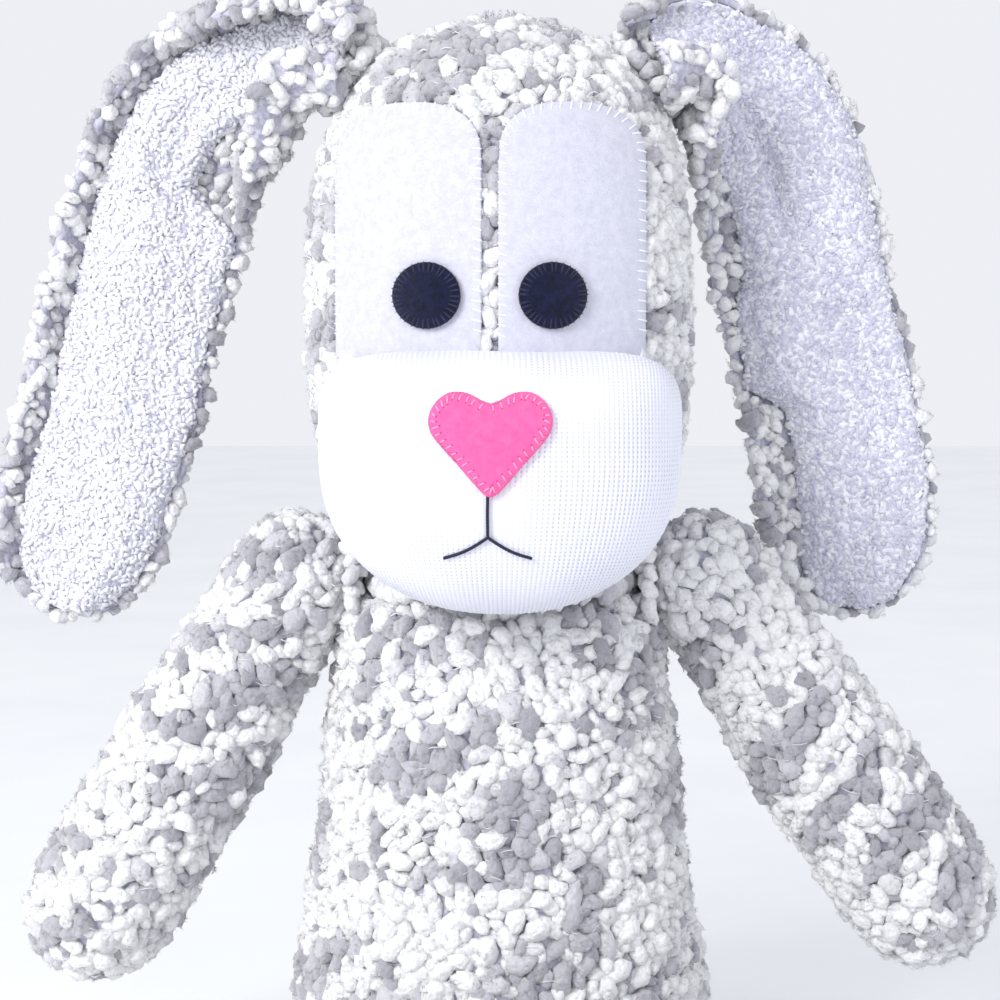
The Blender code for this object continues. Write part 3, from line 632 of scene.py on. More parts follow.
def popcorn(name, skin, body, seed, axis_from, axis_to, slant, spacing=PUFF_SPACING, keep=None, floor=None,
            period=30.0, size=1.0):
    """Puffs of yarn all over a knitted skin: big ones, small ones that fill between them, and their fibres."""
    axis = (seed, axis_from, axis_to, slant, period)
    spots, out = spots_on(skin, spacing, seed, keep)
    chance = np.random.default_rng(seed + 700)
    between = spots_on(skin, SMALL_PUFF_SPACING, seed + 50, keep, spots, SMALL_PUFF_CLEARANCE)
    for (spots, out), kind in zip(((spots, out), between), PUFF_KINDS):
        kind, least, most, flatness, lift, puff_seed, fibre_seed, each = kind
        sizes = chance.uniform(least, most, len(spots)) * MM * size
        white = patches_of_colour(spots, *axis)
        puffs = scatter(f"{name}{kind}_puffs", PUFFS, spots, out, sizes, flatness, white, seed + puff_seed,
                        lift=lift * MM, floor=floor)
        dress(puffs, POPCORN, body, "popcorn_fabric")
        roots = spots + out * lift * MM
        fuzz(f"{name}{kind}_fibres", roots, out, sizes, white, body, seed + fibre_seed, each, floor)


def binder_threads(name, skin, seed, count, body, length=4.2 * MM, keep=None):
    """Short shiny ends of the nylon binder, lying over the ground knit between the puffs."""
    spots, out = spots_on(skin, 4.0 * MM, seed, keep)
    chance = np.random.default_rng(seed)
    chosen = chance.permutation(len(spots))[:count]
    points, faces = [], []
    clear_of_floor = 0.2 * MM
    for spot, normal in zip(spots[chosen], out[chosen]):
        flat = np.cross(normal, [chance.normal(0, 0.35), chance.normal(0, 0.35), 1.0])
        flat /= np.linalg.norm(flat)
        over = np.cross(normal, flat)
        reach = length * chance.uniform(0.6, 1.3)
        bow = chance.uniform(-0.35, 0.35) * reach
        base = len(points)
        for k in range(5):
            t = k / 4
            middle = spot + flat * reach * (t - 0.5) + over * bow * (1 - (2 * t - 1) ** 2)
            middle = middle + normal * (1.6 + 1.6 * math.sin(math.pi * t)) * MM
            middle[2] = max(middle[2], clear_of_floor)
            for turn in (0.0, 2.1, 4.2):
                points.append(middle + (over * math.cos(turn) + normal * math.sin(turn)) * 0.15 * MM)
        faces += tube_faces(5, 3, base)
        faces.append((base + 2, base + 1, base))
        faces.append((base + 12, base + 13, base + 14))
    obj = mesh_piece(name, points, faces)
    face_outwards(obj)
    return dress(obj, BINDER, body, "seam_thread")


# ------------------------------------------------------------------ sewn joins


COLLAR_PUFF_SPACING = 4.4


def ring_of(node):
    """Middle, axis, radius and two directions of a sewn ring."""
    points = points_of(frame["nodes"][node].data)
    middle = (points.max(axis=0) + points.min(axis=0)) / 2
    ways = np.linalg.svd(points - middle, full_matrices=False)[2]
    across = ways[0]
    axis = ways[2] if ways[2] @ np.array([0.3, -0.2, 1.0]) > 0 else -ways[2]
    over = np.cross(axis, across)
    flat = (points - middle) - np.outer((points - middle) @ axis, axis)
    return middle, axis, np.linalg.norm(flat, axis=1).mean(), across, over


def sewn_join(name, node, body, rows, seed, size=2.6, squeeze=0.8):
    """The thread that oversews a join, and the puffs of yarn that close over it. rows: (radius, height)."""
    middle, axis, radius, across, over = ring_of(node)
    chance = np.random.default_rng(seed)
    turns = max(14, int(radius / MM * 1.3))
    points = []
    sides, steps = 5, turns * 6
    for k in range(steps):
        t = 2 * math.pi * k / steps
        phase = 2 * math.pi * turns * k / steps
        way = across * math.cos(t) + over * math.sin(t)
        place = middle + way * (radius * squeeze + 0.35 * MM * math.cos(2 * phase))
        place = place + axis * 1.1 * MM * math.sin(phase)
        for i in range(sides):
            turn = 2 * math.pi * i / sides
            points.append(place + (way * math.cos(turn) + axis * math.sin(turn)) * 0.3 * MM)
    faces = tube_faces(steps, sides, closed=True)
    thread = mesh_piece(f"{name}_thread", points, faces)
    face_outwards(thread)
    dress(thread, SEAM_THREAD, body, "seam_thread", node)
    spots, out = [], []
    for distance, height in rows:
        count = int(2 * math.pi * distance / COLLAR_PUFF_SPACING)
        shift = chance.uniform(0, 1)
        for k in range(count):
            t = 2 * math.pi * (k + shift + chance.uniform(-0.2, 0.2)) / count
            way = across * math.cos(t) + over * math.sin(t)
            spots.append(middle + way * distance * MM + axis * (height + chance.uniform(-0.5, 0.5)) * MM)
            out.append(way)
    if spots:
        sizes = chance.uniform(size * 0.8, size * 1.15, len(spots)) * MM
        white = np.array([0.5 + 0.9 * noise.noise(Vector(p) * 60.0 + Vector((seed, 0, 0))) for p in spots])
        puffs = scatter(f"{name}_puffs", PUFFS, np.array(spots), np.array(out), sizes, 0.95, white, seed + 3,
                        floor=0.0)
        dress(puffs, POPCORN, body, "popcorn_fabric")


# ------------------------------------------------------------------ the head's and the muzzle's fronts

HEAD_LOW, HEAD_HIGH = (np.array(c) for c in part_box("head_skin"))
HEAD_WIDE = (HEAD_HIGH[0] - HEAD_LOW[0]) / 2
HEAD_DEEP = (HEAD_HIGH[1] - HEAD_LOW[1]) / 2
MUZZLE_LOW, MUZZLE_HIGH = (np.array(c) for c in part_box("muzzle_skin"))
MUZZLE_WIDE = (MUZZLE_HIGH[0] - MUZZLE_LOW[0]) / 2
MUZZLE_Z = MUZZLE_LOW[2] + 0.618 * (MUZZLE_HIGH[2] - MUZZLE_LOW[2])
# the pouch is nearly square above its widest line and round below it
MUZZLE_SQUARE, MUZZLE_ROUND = 5.0, 2.2


def head_half_width(z):
    """Half the head's width at height z: an egg, squarer below its middle."""
    share = 2 * (z - HEAD_LOW[2]) / (HEAD_HIGH[2] - HEAD_LOW[2]) - 1
    power = 3.6 if share < 0 else 2.5
    return HEAD_WIDE * max(1 - abs(share) ** power, 0.0) ** (1 / power)


def head_front(x, z, lift=0.0):
    """The place lift proud of the head's front over (x, z)."""

    def depth(px, pz):
        wide = max(head_half_width(pz), 1e-4)
        return -HEAD_DEEP * wide / HEAD_WIDE * math.sqrt(max(1 - (px / wide) ** 2, 0.01))

    step = 2 * MM
    normal = Vector(((depth(x + step, z) - depth(x - step, z)) / (2 * step), -1.0,
                     (depth(x, z + step) - depth(x, z - step)) / (2 * step))).normalized()
    return Vector((x, depth(x, z), z)) + normal * lift, normal


MUZZLE_RIM = head_front(0.0, MUZZLE_Z)[0].y
MUZZLE_DEEP = MUZZLE_RIM - MUZZLE_LOW[1]


def muzzle_rim(turn):
    """How far the muzzle's outline reaches in the direction turn, across and up from its middle."""
    high = math.sin(turn) >= 0
    power = MUZZLE_SQUARE if high else MUZZLE_ROUND
    rise = (MUZZLE_HIGH[2] - MUZZLE_Z) if high else (MUZZLE_Z - MUZZLE_LOW[2])
    radius = (abs(math.cos(turn)) ** power + abs(math.sin(turn)) ** power) ** (-1 / power)
    return radius, rise


def muzzle_depth(x, z):
    """How far back the muzzle's front lies at (x, z)."""
    high = z >= MUZZLE_Z
    power = MUZZLE_SQUARE if high else MUZZLE_ROUND
    rise = (MUZZLE_HIGH[2] if high else MUZZLE_LOW[2]) - MUZZLE_Z
    ratio = (abs(x / MUZZLE_WIDE) ** power + abs((z - MUZZLE_Z) / rise) ** power) ** (1 / power)
    low = max(MUZZLE_Z - z, 0.0) / (MUZZLE_Z - MUZZLE_LOW[2])
    return MUZZLE_RIM - 8 * MM * low - (MUZZLE_DEEP - 4 * MM) * math.sqrt(max(1 - ratio**2, 0.0)) - 2 * MM


def muzzle_front(x, z, lift=0.0):
    step = 1.5 * MM
    normal = Vector(((muzzle_depth(x + step, z) - muzzle_depth(x - step, z)) / (2 * step), -1.0,
                     (muzzle_depth(x, z + step) - muzzle_depth(x, z - step)) / (2 * step))).normalized()
    return Vector((x, muzzle_depth(x, z), z)) + normal * lift, normal


# ------------------------------------------------------------------ camera, light and floor


CAMERA_DISTANCE = 0.65
CAMERA_LENS = 83.6
CAMERA_DOWN = 5.0
LOOKS_AT = Vector((0, 0, 0.177))


def studio():
    """A pale floor, an even white sky, a window lamp and a weak fill lamp, and the camera."""
    deselect()
    bpy.ops.mesh.primitive_plane_add(size=6.0, location=(0, 0, -0.0004))
    floor = bpy.context.object
    floor.name = "floor"
    tree, made = new_material("pale_floor")
    place = add(tree, "ShaderNodeTexCoord")
    grain = add(tree, "ShaderNodeTexNoise", {"Scale": 8.0, "Detail": 4.0}, {"Vector": place.outputs["Object"]})
    colour = ramp(tree, grain.outputs["Fac"], [(0.3, "#f3f4f6"), (0.7, "#f9fafb")])
    bump = add(tree, "ShaderNodeBump", {"Strength": 0.02}, {"Height": grain.outputs["Fac"]})
    finish_material(tree, colour, bump.outputs[0], {"Roughness": 0.6})
    floor.data.materials.append(made)
    world = bpy.data.worlds.new("studio")
    bpy.context.scene.world = world
    world.use_nodes = True
    world.node_tree.nodes["Background"].inputs["Color"].default_value = to_linear("#f4f6fb")
    world.node_tree.nodes["Background"].inputs["Strength"].default_value = 0.94

    def lamp(name, at, aim, size, watts, colour):
        data = bpy.data.lights.new(name, "AREA")
        data.shape = "DISK"
        data.size = size
        data.energy = watts
        data.color = to_linear(colour)[:3]
        obj = bpy.data.objects.new(name, data)
        obj.location = at
        obj.rotation_euler = (Vector(aim) - Vector(at)).to_track_quat("-Z", "Y").to_euler()
        bpy.context.scene.collection.objects.link(obj)

    lamp("window", (-0.80, -0.95, 0.75), (0, 0, 0.17), 0.6, 12.0, "#ffffff")
    lamp("fill", (0.9, -1.1, 0.6), (0, 0, 0.17), 0.9, 2.0, "#eef1ff")

    data = bpy.data.cameras.new("camera")
    data.sensor_width = 36.0
    data.lens = CAMERA_LENS
    camera = bpy.data.objects.new("camera", data)
    tilt = math.radians(CAMERA_DOWN)
    camera.location = LOOKS_AT + Vector((0, -math.cos(tilt), math.sin(tilt))) * CAMERA_DISTANCE
    camera.rotation_euler = (LOOKS_AT - camera.location).to_track_quat("-Z", "Y").to_euler()
    bpy.context.scene.collection.objects.link(camera)
    bpy.context.scene.camera = camera
    bpy.context.scene.view_settings.view_transform = "Standard"


studio()

# ------------------------------------------------------------------ felt pieces and their stitches


def disc_on(name, outline, centre, surface, lift, thickness, cuts=5, dome=0.0):
    """A felt piece: a disc drawn to an outline, laid on a curved front, given its thickness and soft edges."""
    count = len(outline)
    deselect()
    bpy.ops.mesh.primitive_circle_add(vertices=count, radius=1.0, fill_type="TRIFAN")
    obj = bpy.context.object
    obj.name = name
    bpy.ops.object.mode_set(mode="EDIT")
    bpy.ops.mesh.select_all(action="SELECT")
    bpy.ops.mesh.subdivide(number_cuts=cuts)
    bpy.ops.object.mode_set(mode="OBJECT")
    turns = np.array([math.atan2(z - centre[1], x - centre[0]) % (2 * math.pi) for x, z in outline])
    reach = np.array([math.hypot(x - centre[0], z - centre[1]) for x, z in outline])
    order = np.argsort(turns)
    turns, reach = turns[order], reach[order]
    flat_edge = math.cos(math.pi / count)
    for vertex in obj.data.vertices:
        share = math.hypot(vertex.co.x, vertex.co.y)
        turn = math.atan2(vertex.co.y, vertex.co.x) % (2 * math.pi)
        near = ((turn / (2 * math.pi) * count + 0.5) % 1.0 - 0.5) / count * 2 * math.pi
        share = min(share / (flat_edge / math.cos(math.pi / count - abs(near))), 1.0) if share > 0 else 0.0
        size = np.interp(turn, turns, reach, period=2 * math.pi) * share
        x = centre[0] + size * math.cos(turn)
        z = centre[1] + size * math.sin(turn)
        vertex.co = surface(x, z, lift + dome * (1 - share**2))[0]
    solid = obj.modifiers.new("felt thickness", "SOLIDIFY")
    solid.thickness = thickness
    solid.offset = 0.0
    edge = obj.modifiers.new("soft edge", "BEVEL")
    edge.width = thickness * 0.3
    edge.segments = 2
    edge.limit_method = "ANGLE"
    edge.angle_limit = math.radians(50)
    apply_modifiers(obj)
    face_outwards(obj)
    return obj


def even_along(outline, gap):
    """Points every gap along a closed outline, with the outline's direction there."""
    closed = np.array(list(outline) + [outline[0]])
    steps = np.linalg.norm(np.diff(closed, axis=0), axis=1)
    along = np.concatenate([[0], np.cumsum(steps)])
    count = int(along[-1] / gap)
    places = []
    for k in range(count):
        want = along[-1] * (k + 0.5) / count
        x, z = np.interp(want, along, closed[:, 0]), np.interp(want, along, closed[:, 1])
        x2, z2 = np.interp(want + 1e-4, along, closed[:, 0]), np.interp(want + 1e-4, along, closed[:, 1])
        run = np.array([x2 - x, z2 - z])
        places.append((np.array([x, z]), run / max(np.linalg.norm(run), 1e-12)))
    return places


def stitch_shape(sides=6, steps=6):
    """One stitch, a thread from x = 0 to 1 with thinner ends, one unit thick at its middle."""
    points = []
    for k in range(steps + 1):
        t = k / steps
        thick = 0.55 + 0.45 * math.sin(math.pi * t) ** 0.5
        for s in range(sides):
            turn = 2 * math.pi * s / sides
            points.append((t, math.cos(turn) * thick, math.sin(turn) * thick))
    faces = tube_faces(steps + 1, sides)
    faces.append(tuple(range(sides))[::-1])
    faces.append(tuple(range(steps * sides, (steps + 1) * sides)))
    return points, faces


STITCH = stitch_shape()


def stitches(name, segments, radius, surface, arch, material, body, slot):
    """Thread stitches between pairs of (x, z) places on a surface: segments is a list of (start, end, lift)."""
    points, faces = [], []
    for start, end, lift in segments:
        base = len(points)
        flat = np.array(end) - np.array(start)
        across = np.array([-flat[1], flat[0]]) / max(np.linalg.norm(flat), 1e-12)
        for t, side, up in STITCH[0]:
            x, z = np.array(start) + flat * t + across * side * radius
            rise = lift + arch * math.sin(math.pi * min(max(t, 0.0), 1.0)) + up * radius
            points.append(surface(x, z, rise)[0])
        faces += [tuple(base + i for i in face) for face in STITCH[1]]
    obj = mesh_piece(name, points, faces)
    face_outwards(obj)
    return dress(obj, material, body, slot)


def whip_segments(outline, gap, inside, outside, slant, lift, inward, chance):
    """Whip stitches along an outline: each from outside its edge to inside, leaning by slant."""
    found = []
    for place, run in even_along(outline, gap):
        normal = np.array([-run[1], run[0]]) * inward
        jitter = chance.normal(0, 0.12, 2) * MM
        start = place - normal * outside
        end = place + normal * inside * chance.uniform(0.85, 1.15) + run * slant * chance.uniform(0.5, 1.5) + jitter
        found.append((start, end, lift))
    return found


FACE_BODY = "head"


def patch_outline(low_x, high_x, low_z, high_z):
    """Tall felt patch with a round head."""
    x = (low_x + high_x) / 2
    half = (high_x - low_x) / 2
    cap = half * 0.78
    outline = []
    for t in np.linspace(0, 1, 14, endpoint=False):
        outline.append((low_x + 2 * half * t, low_z))
    for t in np.linspace(0, 1, 18, endpoint=False):
        outline.append((high_x, low_z + (high_z - cap - low_z) * t))
    for t in np.linspace(0, math.pi, 30, endpoint=False):
        bulge = 1 / (abs(math.cos(t)) ** 2.5 + abs(math.sin(t)) ** 2.5) ** (1 / 2.5)
        outline.append((x + half * math.cos(t) * bulge, high_z - cap + cap * math.sin(t) * bulge))
    for t in np.linspace(0, 1, 18, endpoint=False):
        outline.append((low_x, high_z - cap - (high_z - cap - low_z) * t))
    return outline


PATCH_UNDER_MUZZLE = 3.0 * MM
PATCH_TOP_DOWN = 2.4 * MM
SPOKES = 34


def felt_face():
    chance = np.random.default_rng(5)
    laid = []
    for word in ("left", "right"):
        low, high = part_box(f"eye_patch_{word}")
        outline = patch_outline(low[0], high[0], low[2] - PATCH_UNDER_MUZZLE, high[2] - PATCH_TOP_DOWN)
        centre = ((low[0] + high[0]) / 2, low[2] + 30 * MM)
        patch = disc_on(f"felt_patch_{word}", outline, centre, head_front, 0.2 * MM, 1.5 * MM, cuts=9)
        dress(patch, WHITE_FELT, FACE_BODY, "white_felt", f"eye_patch_{word}")
        laid.append(outline)
        whips = whip_segments(outline, 2.6 * MM, 2.2 * MM, 0.25 * MM, 0.5 * MM, 0.85 * MM, 1, chance)
        whips = [w for w in whips if w[0][1] > low[2] + 2 * MM]
        stitches(f"felt_patch_{word}_stitches", whips, 0.22 * MM, head_front, 0.12 * MM, WHITE_THREAD, FACE_BODY,
                 "white_felt")
        low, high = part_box(f"eye_{word}")
        x, z = (low[0] + high[0]) / 2, (low[2] + high[2]) / 2
        size = (high[0] - low[0]) / 2 * 0.93
        turns = np.linspace(0, 2 * math.pi, 64, endpoint=False)
        ring = [(x + size * math.cos(t), z + size * math.sin(t)) for t in turns]
        eye = disc_on(f"felt_eye_{word}", ring, (x, z), head_front, 1.9 * MM, 1.6 * MM, cuts=5, dome=0.7 * MM)
        dress(eye, NAVY_FELT, FACE_BODY, "navy_felt", f"eye_{word}")
        spokes = []
        for k in range(SPOKES):
            turn = 2 * math.pi * k / SPOKES + chance.normal(0, 0.03)
            way = np.array([math.cos(turn), math.sin(turn)])
            inner = size * chance.uniform(0.50, 0.62)
            spokes.append((np.array([x, z]) + way * (size + 0.2 * MM), np.array([x, z]) + way * inner, 2.7 * MM))
        stitches(f"felt_eye_{word}_stitches", spokes, 0.22 * MM, head_front, 0.2 * MM, NAVY_THREAD, FACE_BODY,
                 "navy_floss")
    return laid


HEART = ((0.0, -0.108), (0.16, -0.075), (0.33, -0.022), (0.50, 0.0), (0.68, -0.008), (0.84, -0.062), (0.95, -0.145),
         (1.0, -0.245), (0.972, -0.34), (0.898, -0.42), (0.694, -0.565), (0.43, -0.755), (0.245, -0.885),
         (0.12, -0.965), (0.0, -1.0))


def heart_outline():
    low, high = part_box("nose_heart")
    x, half, tall = (low[0] + high[0]) / 2 + 0.3 * MM, (high[0] - low[0]) / 2 * 0.985, high[2] - low[2]
    control = [(a, b) for a, b in HEART] + [(-a, b) for a, b in HEART[-2:0:-1]]
    control = np.array(control)
    count = len(control)
    outline = []
    for i in range(count):
        p0, p1, p2, p3 = (control[(i + k) % count] for k in (-1, 0, 1, 2))
        if i == 0:
            p0 = 2 * p1 - p2
        if (i + 1) % count == 0:
            p3 = 2 * p2 - p1
        for t in (0.0, 0.25, 0.5, 0.75):
            p = curve_between(p0, p1, p2, p3, t)
            outline.append((x + half * p[0], high[2] + tall * 0.94 * p[1]))
    return outline[::-1]


def nose_and_mouth():
    chance = np.random.default_rng(9)
    outline = heart_outline()
    low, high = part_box("nose_heart")
    x = (low[0] + high[0]) / 2
    centre = (x, high[2] - 0.40 * (high[2] - low[2]))
    nose = disc_on("felt_heart_nose", outline, centre, muzzle_front, 1.0 * MM, 1.6 * MM, cuts=6, dome=0.3 * MM)
    dress(nose, PINK_FELT, FACE_BODY, "pink_felt", "nose_heart")
    whips = whip_segments(outline, 1.95 * MM, 2.3 * MM, -0.6 * MM, 0.5 * MM, 1.7 * MM, 1, chance)
    stitches("heart_nose_stitches", whips, 0.23 * MM, muzzle_front, 0.3 * MM, PINK_THREAD, FACE_BODY, "pink_felt")
    left, right = np.array([0.28, 0.0]) * MM, np.array([0.28, 0.12]) * MM
    # painted shade: a short darker pink bar at the end of each whip stitch stands for the shade in the needle hole
    # where the thread goes into the felt
    hole_shade_marks = [(end - left, end + right, 1.72 * MM) for _, end, _ in whips]
    stitches("heart_nose_needle_hole_shade", hole_shade_marks, 0.26 * MM, muzzle_front, 0.1 * MM, NEEDLE_HOLE_SHADE, FACE_BODY, "pink_felt")
    x -= 0.4 * MM
    tip = low[2] + 1.6 * MM
    fork = np.array([x, tip - 9.9 * MM])
    lines = [[(x, tip + 0.6 * MM), (x - 0.1 * MM, tip - 5 * MM), tuple(fork)]]
    for side in (-1, 1):
        bends = ((2.7, 1.9), (6.2, 3.9), (10.8, 5.3))
        lines.append([tuple(fork)] + [(x + side * a * MM, fork[1] - b * MM) for a, b in bends])
    points, faces = [], []
    for line in lines:
        line = np.array(line)
        steps = np.linalg.norm(np.diff(line, axis=0), axis=1)
        along = np.concatenate([[0], np.cumsum(steps)])
        fine = np.linspace(0, along[-1], int(along[-1] / (0.3 * MM)))
        px = np.interp(fine, along, line[:, 0])
        pz = np.interp(fine, along, line[:, 1])
        for _ in range(30):
            px[1:-1] = (px[:-2] + px[2:]) / 2
            pz[1:-1] = (pz[:-2] + pz[2:]) / 2
        for strand in range(3):
            base = len(points)
            for k, (ax, az) in enumerate(zip(px, pz)):
                turn = fine[k] / (2.2 * MM) * 2 * math.pi + strand * 2 * math.pi / 3
                ahead, behind = min(k + 1, len(px) - 1), max(k - 1, 0)
                run = np.array([px[ahead] - px[behind], pz[ahead] - pz[behind]])
                run /= np.linalg.norm(run)
                across = np.array([-run[1], run[0]])
                shift = 0.21 * MM
                for s in range(6):
                    lean = 2 * math.pi * s / 6
                    side = shift * math.cos(turn) + 0.25 * MM * math.cos(lean)
                    up = 0.75 * MM + shift * math.sin(turn) + 0.25 * MM * math.sin(lean)
                    points.append(muzzle_front(ax + across[0] * side, az + across[1] * side, up)[0])
            rows = len(px)
            faces += tube_faces(rows, 6, base)
            faces.append(tuple(base + s for s in range(6))[::-1])
            faces.append(tuple(base + 6 * (rows - 1) + s for s in range(6)))
    mouth = mesh_piece("embroidered_mouth", points, faces)
    face_outwards(mouth)
    dress(mouth, NAVY_THREAD, FACE_BODY, "navy_floss", "mouth_floss")


# ------------------------------------------------------------------ the knitted muzzle


RIB_WIDTH = 1.6 * MM
COURSE_HEIGHT = 1.38 * MM


def knit_places(points):
    """Rib and course numbers of the sock knit at each point of the pouch, which stretches it sideways."""
    x, z = points[:, 0], points[:, 2]
    low = np.clip((MUZZLE_Z - z) / (MUZZLE_Z - MUZZLE_LOW[2]), 0, 1)
    wide = MUZZLE_WIDE * 1.04 * (1 - 0.30 * low**2)
    wale = MUZZLE_WIDE * 1.12 * np.arcsin(np.clip(x / wide, -1, 1)) / RIB_WIDTH
    rise = np.where(z > MUZZLE_Z, MUZZLE_HIGH[2] - MUZZLE_Z, MUZZLE_Z - MUZZLE_LOW[2]) * 1.05
    course = rise * 1.15 * np.arcsin(np.clip((z - MUZZLE_Z) / rise, -1, 1)) / COURSE_HEIGHT
    return wale, course + 1.2 * (x / MUZZLE_WIDE) ** 2


def muzzle():
    """The pouch: an even closed form, swelled by its filling, with the knit's ribs raised on it."""
    rings, around = 28, 72
    points = []
    for i in range(rings + 1):
        swing = math.pi * (i / rings - 0.5)
        for k in range(around):
            turn = 2 * math.pi * k / around
            radius, rise = muzzle_rim(turn)
            out = math.cos(swing) if swing >= 0 else max(math.cos(swing), 0.0) ** 0.4
            x = MUZZLE_WIDE * radius * math.cos(turn) * out
            z = MUZZLE_Z + rise * radius * math.sin(turn) * out
            low = min(max((MUZZLE_Z - z) / (MUZZLE_Z - MUZZLE_LOW[2]), 0.0), 1.0)
            back = 26 * MM * (1 - 0.72 * low)
            y = MUZZLE_RIM - 8 * MM * low - (MUZZLE_DEEP - 4 * MM if swing >= 0 else back) * math.sin(swing)
            if swing > 0:
                y -= 2 * MM * min(math.sin(swing) * 3, 1.0)
            points.append((x, y, z))
    obj = mesh_piece("knit_muzzle", points, tube_faces(rings + 1, around))
    face_outwards(obj)
    remesh = obj.modifiers.new("even", "REMESH")
    remesh.mode = "VOXEL"
    remesh.voxel_size = 1.35 * MM
    apply_modifiers(obj)
    places = points_of(obj.data)
    for i, (x, y, z) in enumerate(places):
        if HEAD_LOW[2] < z < HEAD_HIGH[2] and abs(x) < head_half_width(z):
            places[i, 1] = min(y, head_front(x, z)[0].y - 0.4 * MM)
    move_points(obj.data, places)
    finer = obj.modifiers.new("finer", "SUBSURF")
    finer.levels = 1
    finer.render_levels = 1
    apply_modifiers(obj)
    places, out = points_of(obj.data), normals_of(obj.data)
    wale, course = knit_places(places)
    slack = np.array([noise.noise(Vector(p) * 55.0 + Vector((3, 0, 0))) for p in places])
    # front: how far the knit shows, more to the right and lower down, away from the light, with random slack; it
    # scales the ribs' height and, in the shader, is the painted highlight and shade on the pinholes
    front = np.clip(0.22 + 0.62 * np.clip(places[:, 0] / MUZZLE_WIDE, -0.35, 1) + 0.9 * slack
                    + 0.75 * np.clip((MUZZLE_Z - places[:, 2]) / (MUZZLE_Z - MUZZLE_LOW[2]), 0, 1), 0, 1)
    ribs = np.cos(2 * math.pi * wale) * 0.14 + np.cos(2 * math.pi * course) * 0.03
    soft = np.array([noise.noise(Vector(p) * 45.0) for p in places]) * 0.5
    move_points(obj.data, places + out * ((ribs * front + soft) * MM)[:, None])
    knit = obj.data.attributes.new("knit", "FLOAT_VECTOR", "POINT")
    knit.data.foreach_set("vector", np.stack([wale, course, front], axis=1).astype(np.float32).ravel())
    obj.data.shade_smooth()
    dress(obj, SOCK_KNIT, FACE_BODY, "white_knit", "muzzle_skin")
    return obj


# ------------------------------------------------------------------ ears

EAR_FALL = {
    1: ((0.0, 0.0, 0.0), (0.0095, 0.20, 0.002), (0.018, 0.40, -0.0035), (0.0275, 0.65, -0.0125),
        (0.036, 0.85, -0.0255), (0.0405, 1.0, -0.042), (0.0437, 1.0, -0.0615), (0.0498, 1.0, -0.083),
        (0.0550, 1.0, -0.106), (0.0580, 1.0, -0.131), (0.0605, 1.0, -0.156)),
    -1: ((0.0, 0.0, 0.0), (0.0130, 0.20, 0.001), (0.0275, 0.45, -0.007), (0.0420, 0.75, -0.0175),
         (0.0530, 0.95, -0.037), (0.0605, 1.0, -0.062), (0.0655, 1.0, -0.082), (0.0695, 1.0, -0.100),
         (0.0755, 1.0, -0.119), (0.0810, 1.0, -0.141), (0.0850, 1.0, -0.1565)),
}
EAR_HALF = 23.8 * MM
EAR_HANG = 31.5 * MM
# How each ear's cloth is turned in along its length: share of the length, then for the inner and the
# outer edge how far the edge has rolled forward, in degrees, and the share of the half width left flat,
# then how far across the lining reaches towards the inner and the outer edge.
EAR_ROLL = {
    -1: ((0.00, 175, 0.00, 175, 0.00, 0.30, 0.30), (0.10, 150, 0.10, 150, 0.20, 0.25, 0.45),
         (0.20, 90, 0.30, 110, 0.45, 0.15, 0.62), (0.34, 80, 0.35, 90, 0.50, 0.20, 0.66),
         (0.38, 50, 0.50, 85, 0.55, 0.96, 0.66), (0.60, 40, 0.50, 80, 0.60, 0.96, 0.64),
         (0.80, 40, 0.50, 75, 0.60, 0.96, 0.66), (1.00, 60, 0.50, 80, 0.50, 0.96, 0.70)),
    1: ((0.00, 175, 0.00, 120, 0.20, 0.60, 0.96), (0.10, 120, 0.20, 70, 0.40, 0.60, 0.96),
        (0.20, 80, 0.35, 40, 0.50, 0.60, 0.97), (0.45, 80, 0.40, 30, 0.50, 0.56, 0.97),
        (0.50, 40, 0.50, 30, 0.50, 0.85, 0.97), (0.62, 30, 0.50, 30, 0.50, 0.96, 0.97),
        (0.66, 80, 0.30, 30, 0.50, 0.45, 0.97), (0.85, 90, 0.30, 35, 0.50, 0.45, 0.97),
        (1.00, 60, 0.50, 60, 0.50, 0.80, 0.90)),
}


def ear_line(side, count):
    """Places down the middle of an ear, from its root."""
    joint = next(j for j in frame["joints"] if j["name"] == f"ear_{'left' if side > 0 else 'right'}_lift")
    root = Vector(joint["pos_m"])
    given = [root + Vector((side * a, (EAR_HANG - root.y) * b, c)) for a, b, c in EAR_FALL[side]]
    ends = [2 * given[0] - given[1]] + given + [2 * given[-1] - given[-2]]
    fine = []
    for p0, p1, p2, p3 in zip(ends, ends[1:], ends[2:], ends[3:]):
        fine += [curve_between(p0, p1, p2, p3, k / 20) for k in range(20)]
    fine.append(given[-1])
    fine = np.array([tuple(p) for p in fine])
    for _ in range(25):
        fine[1:-1] = (fine[:-2] + 2 * fine[1:-1] + fine[2:]) / 4
    along = np.concatenate([[0], np.cumsum(np.linalg.norm(np.diff(fine, axis=0), axis=1))])
    want = np.linspace(0, along[-1], count)
    return np.stack([np.interp(want, along, fine[:, k]) for k in range(3)], axis=1), along[-1]


ACROSS = np.linspace(-1, 1, 61)


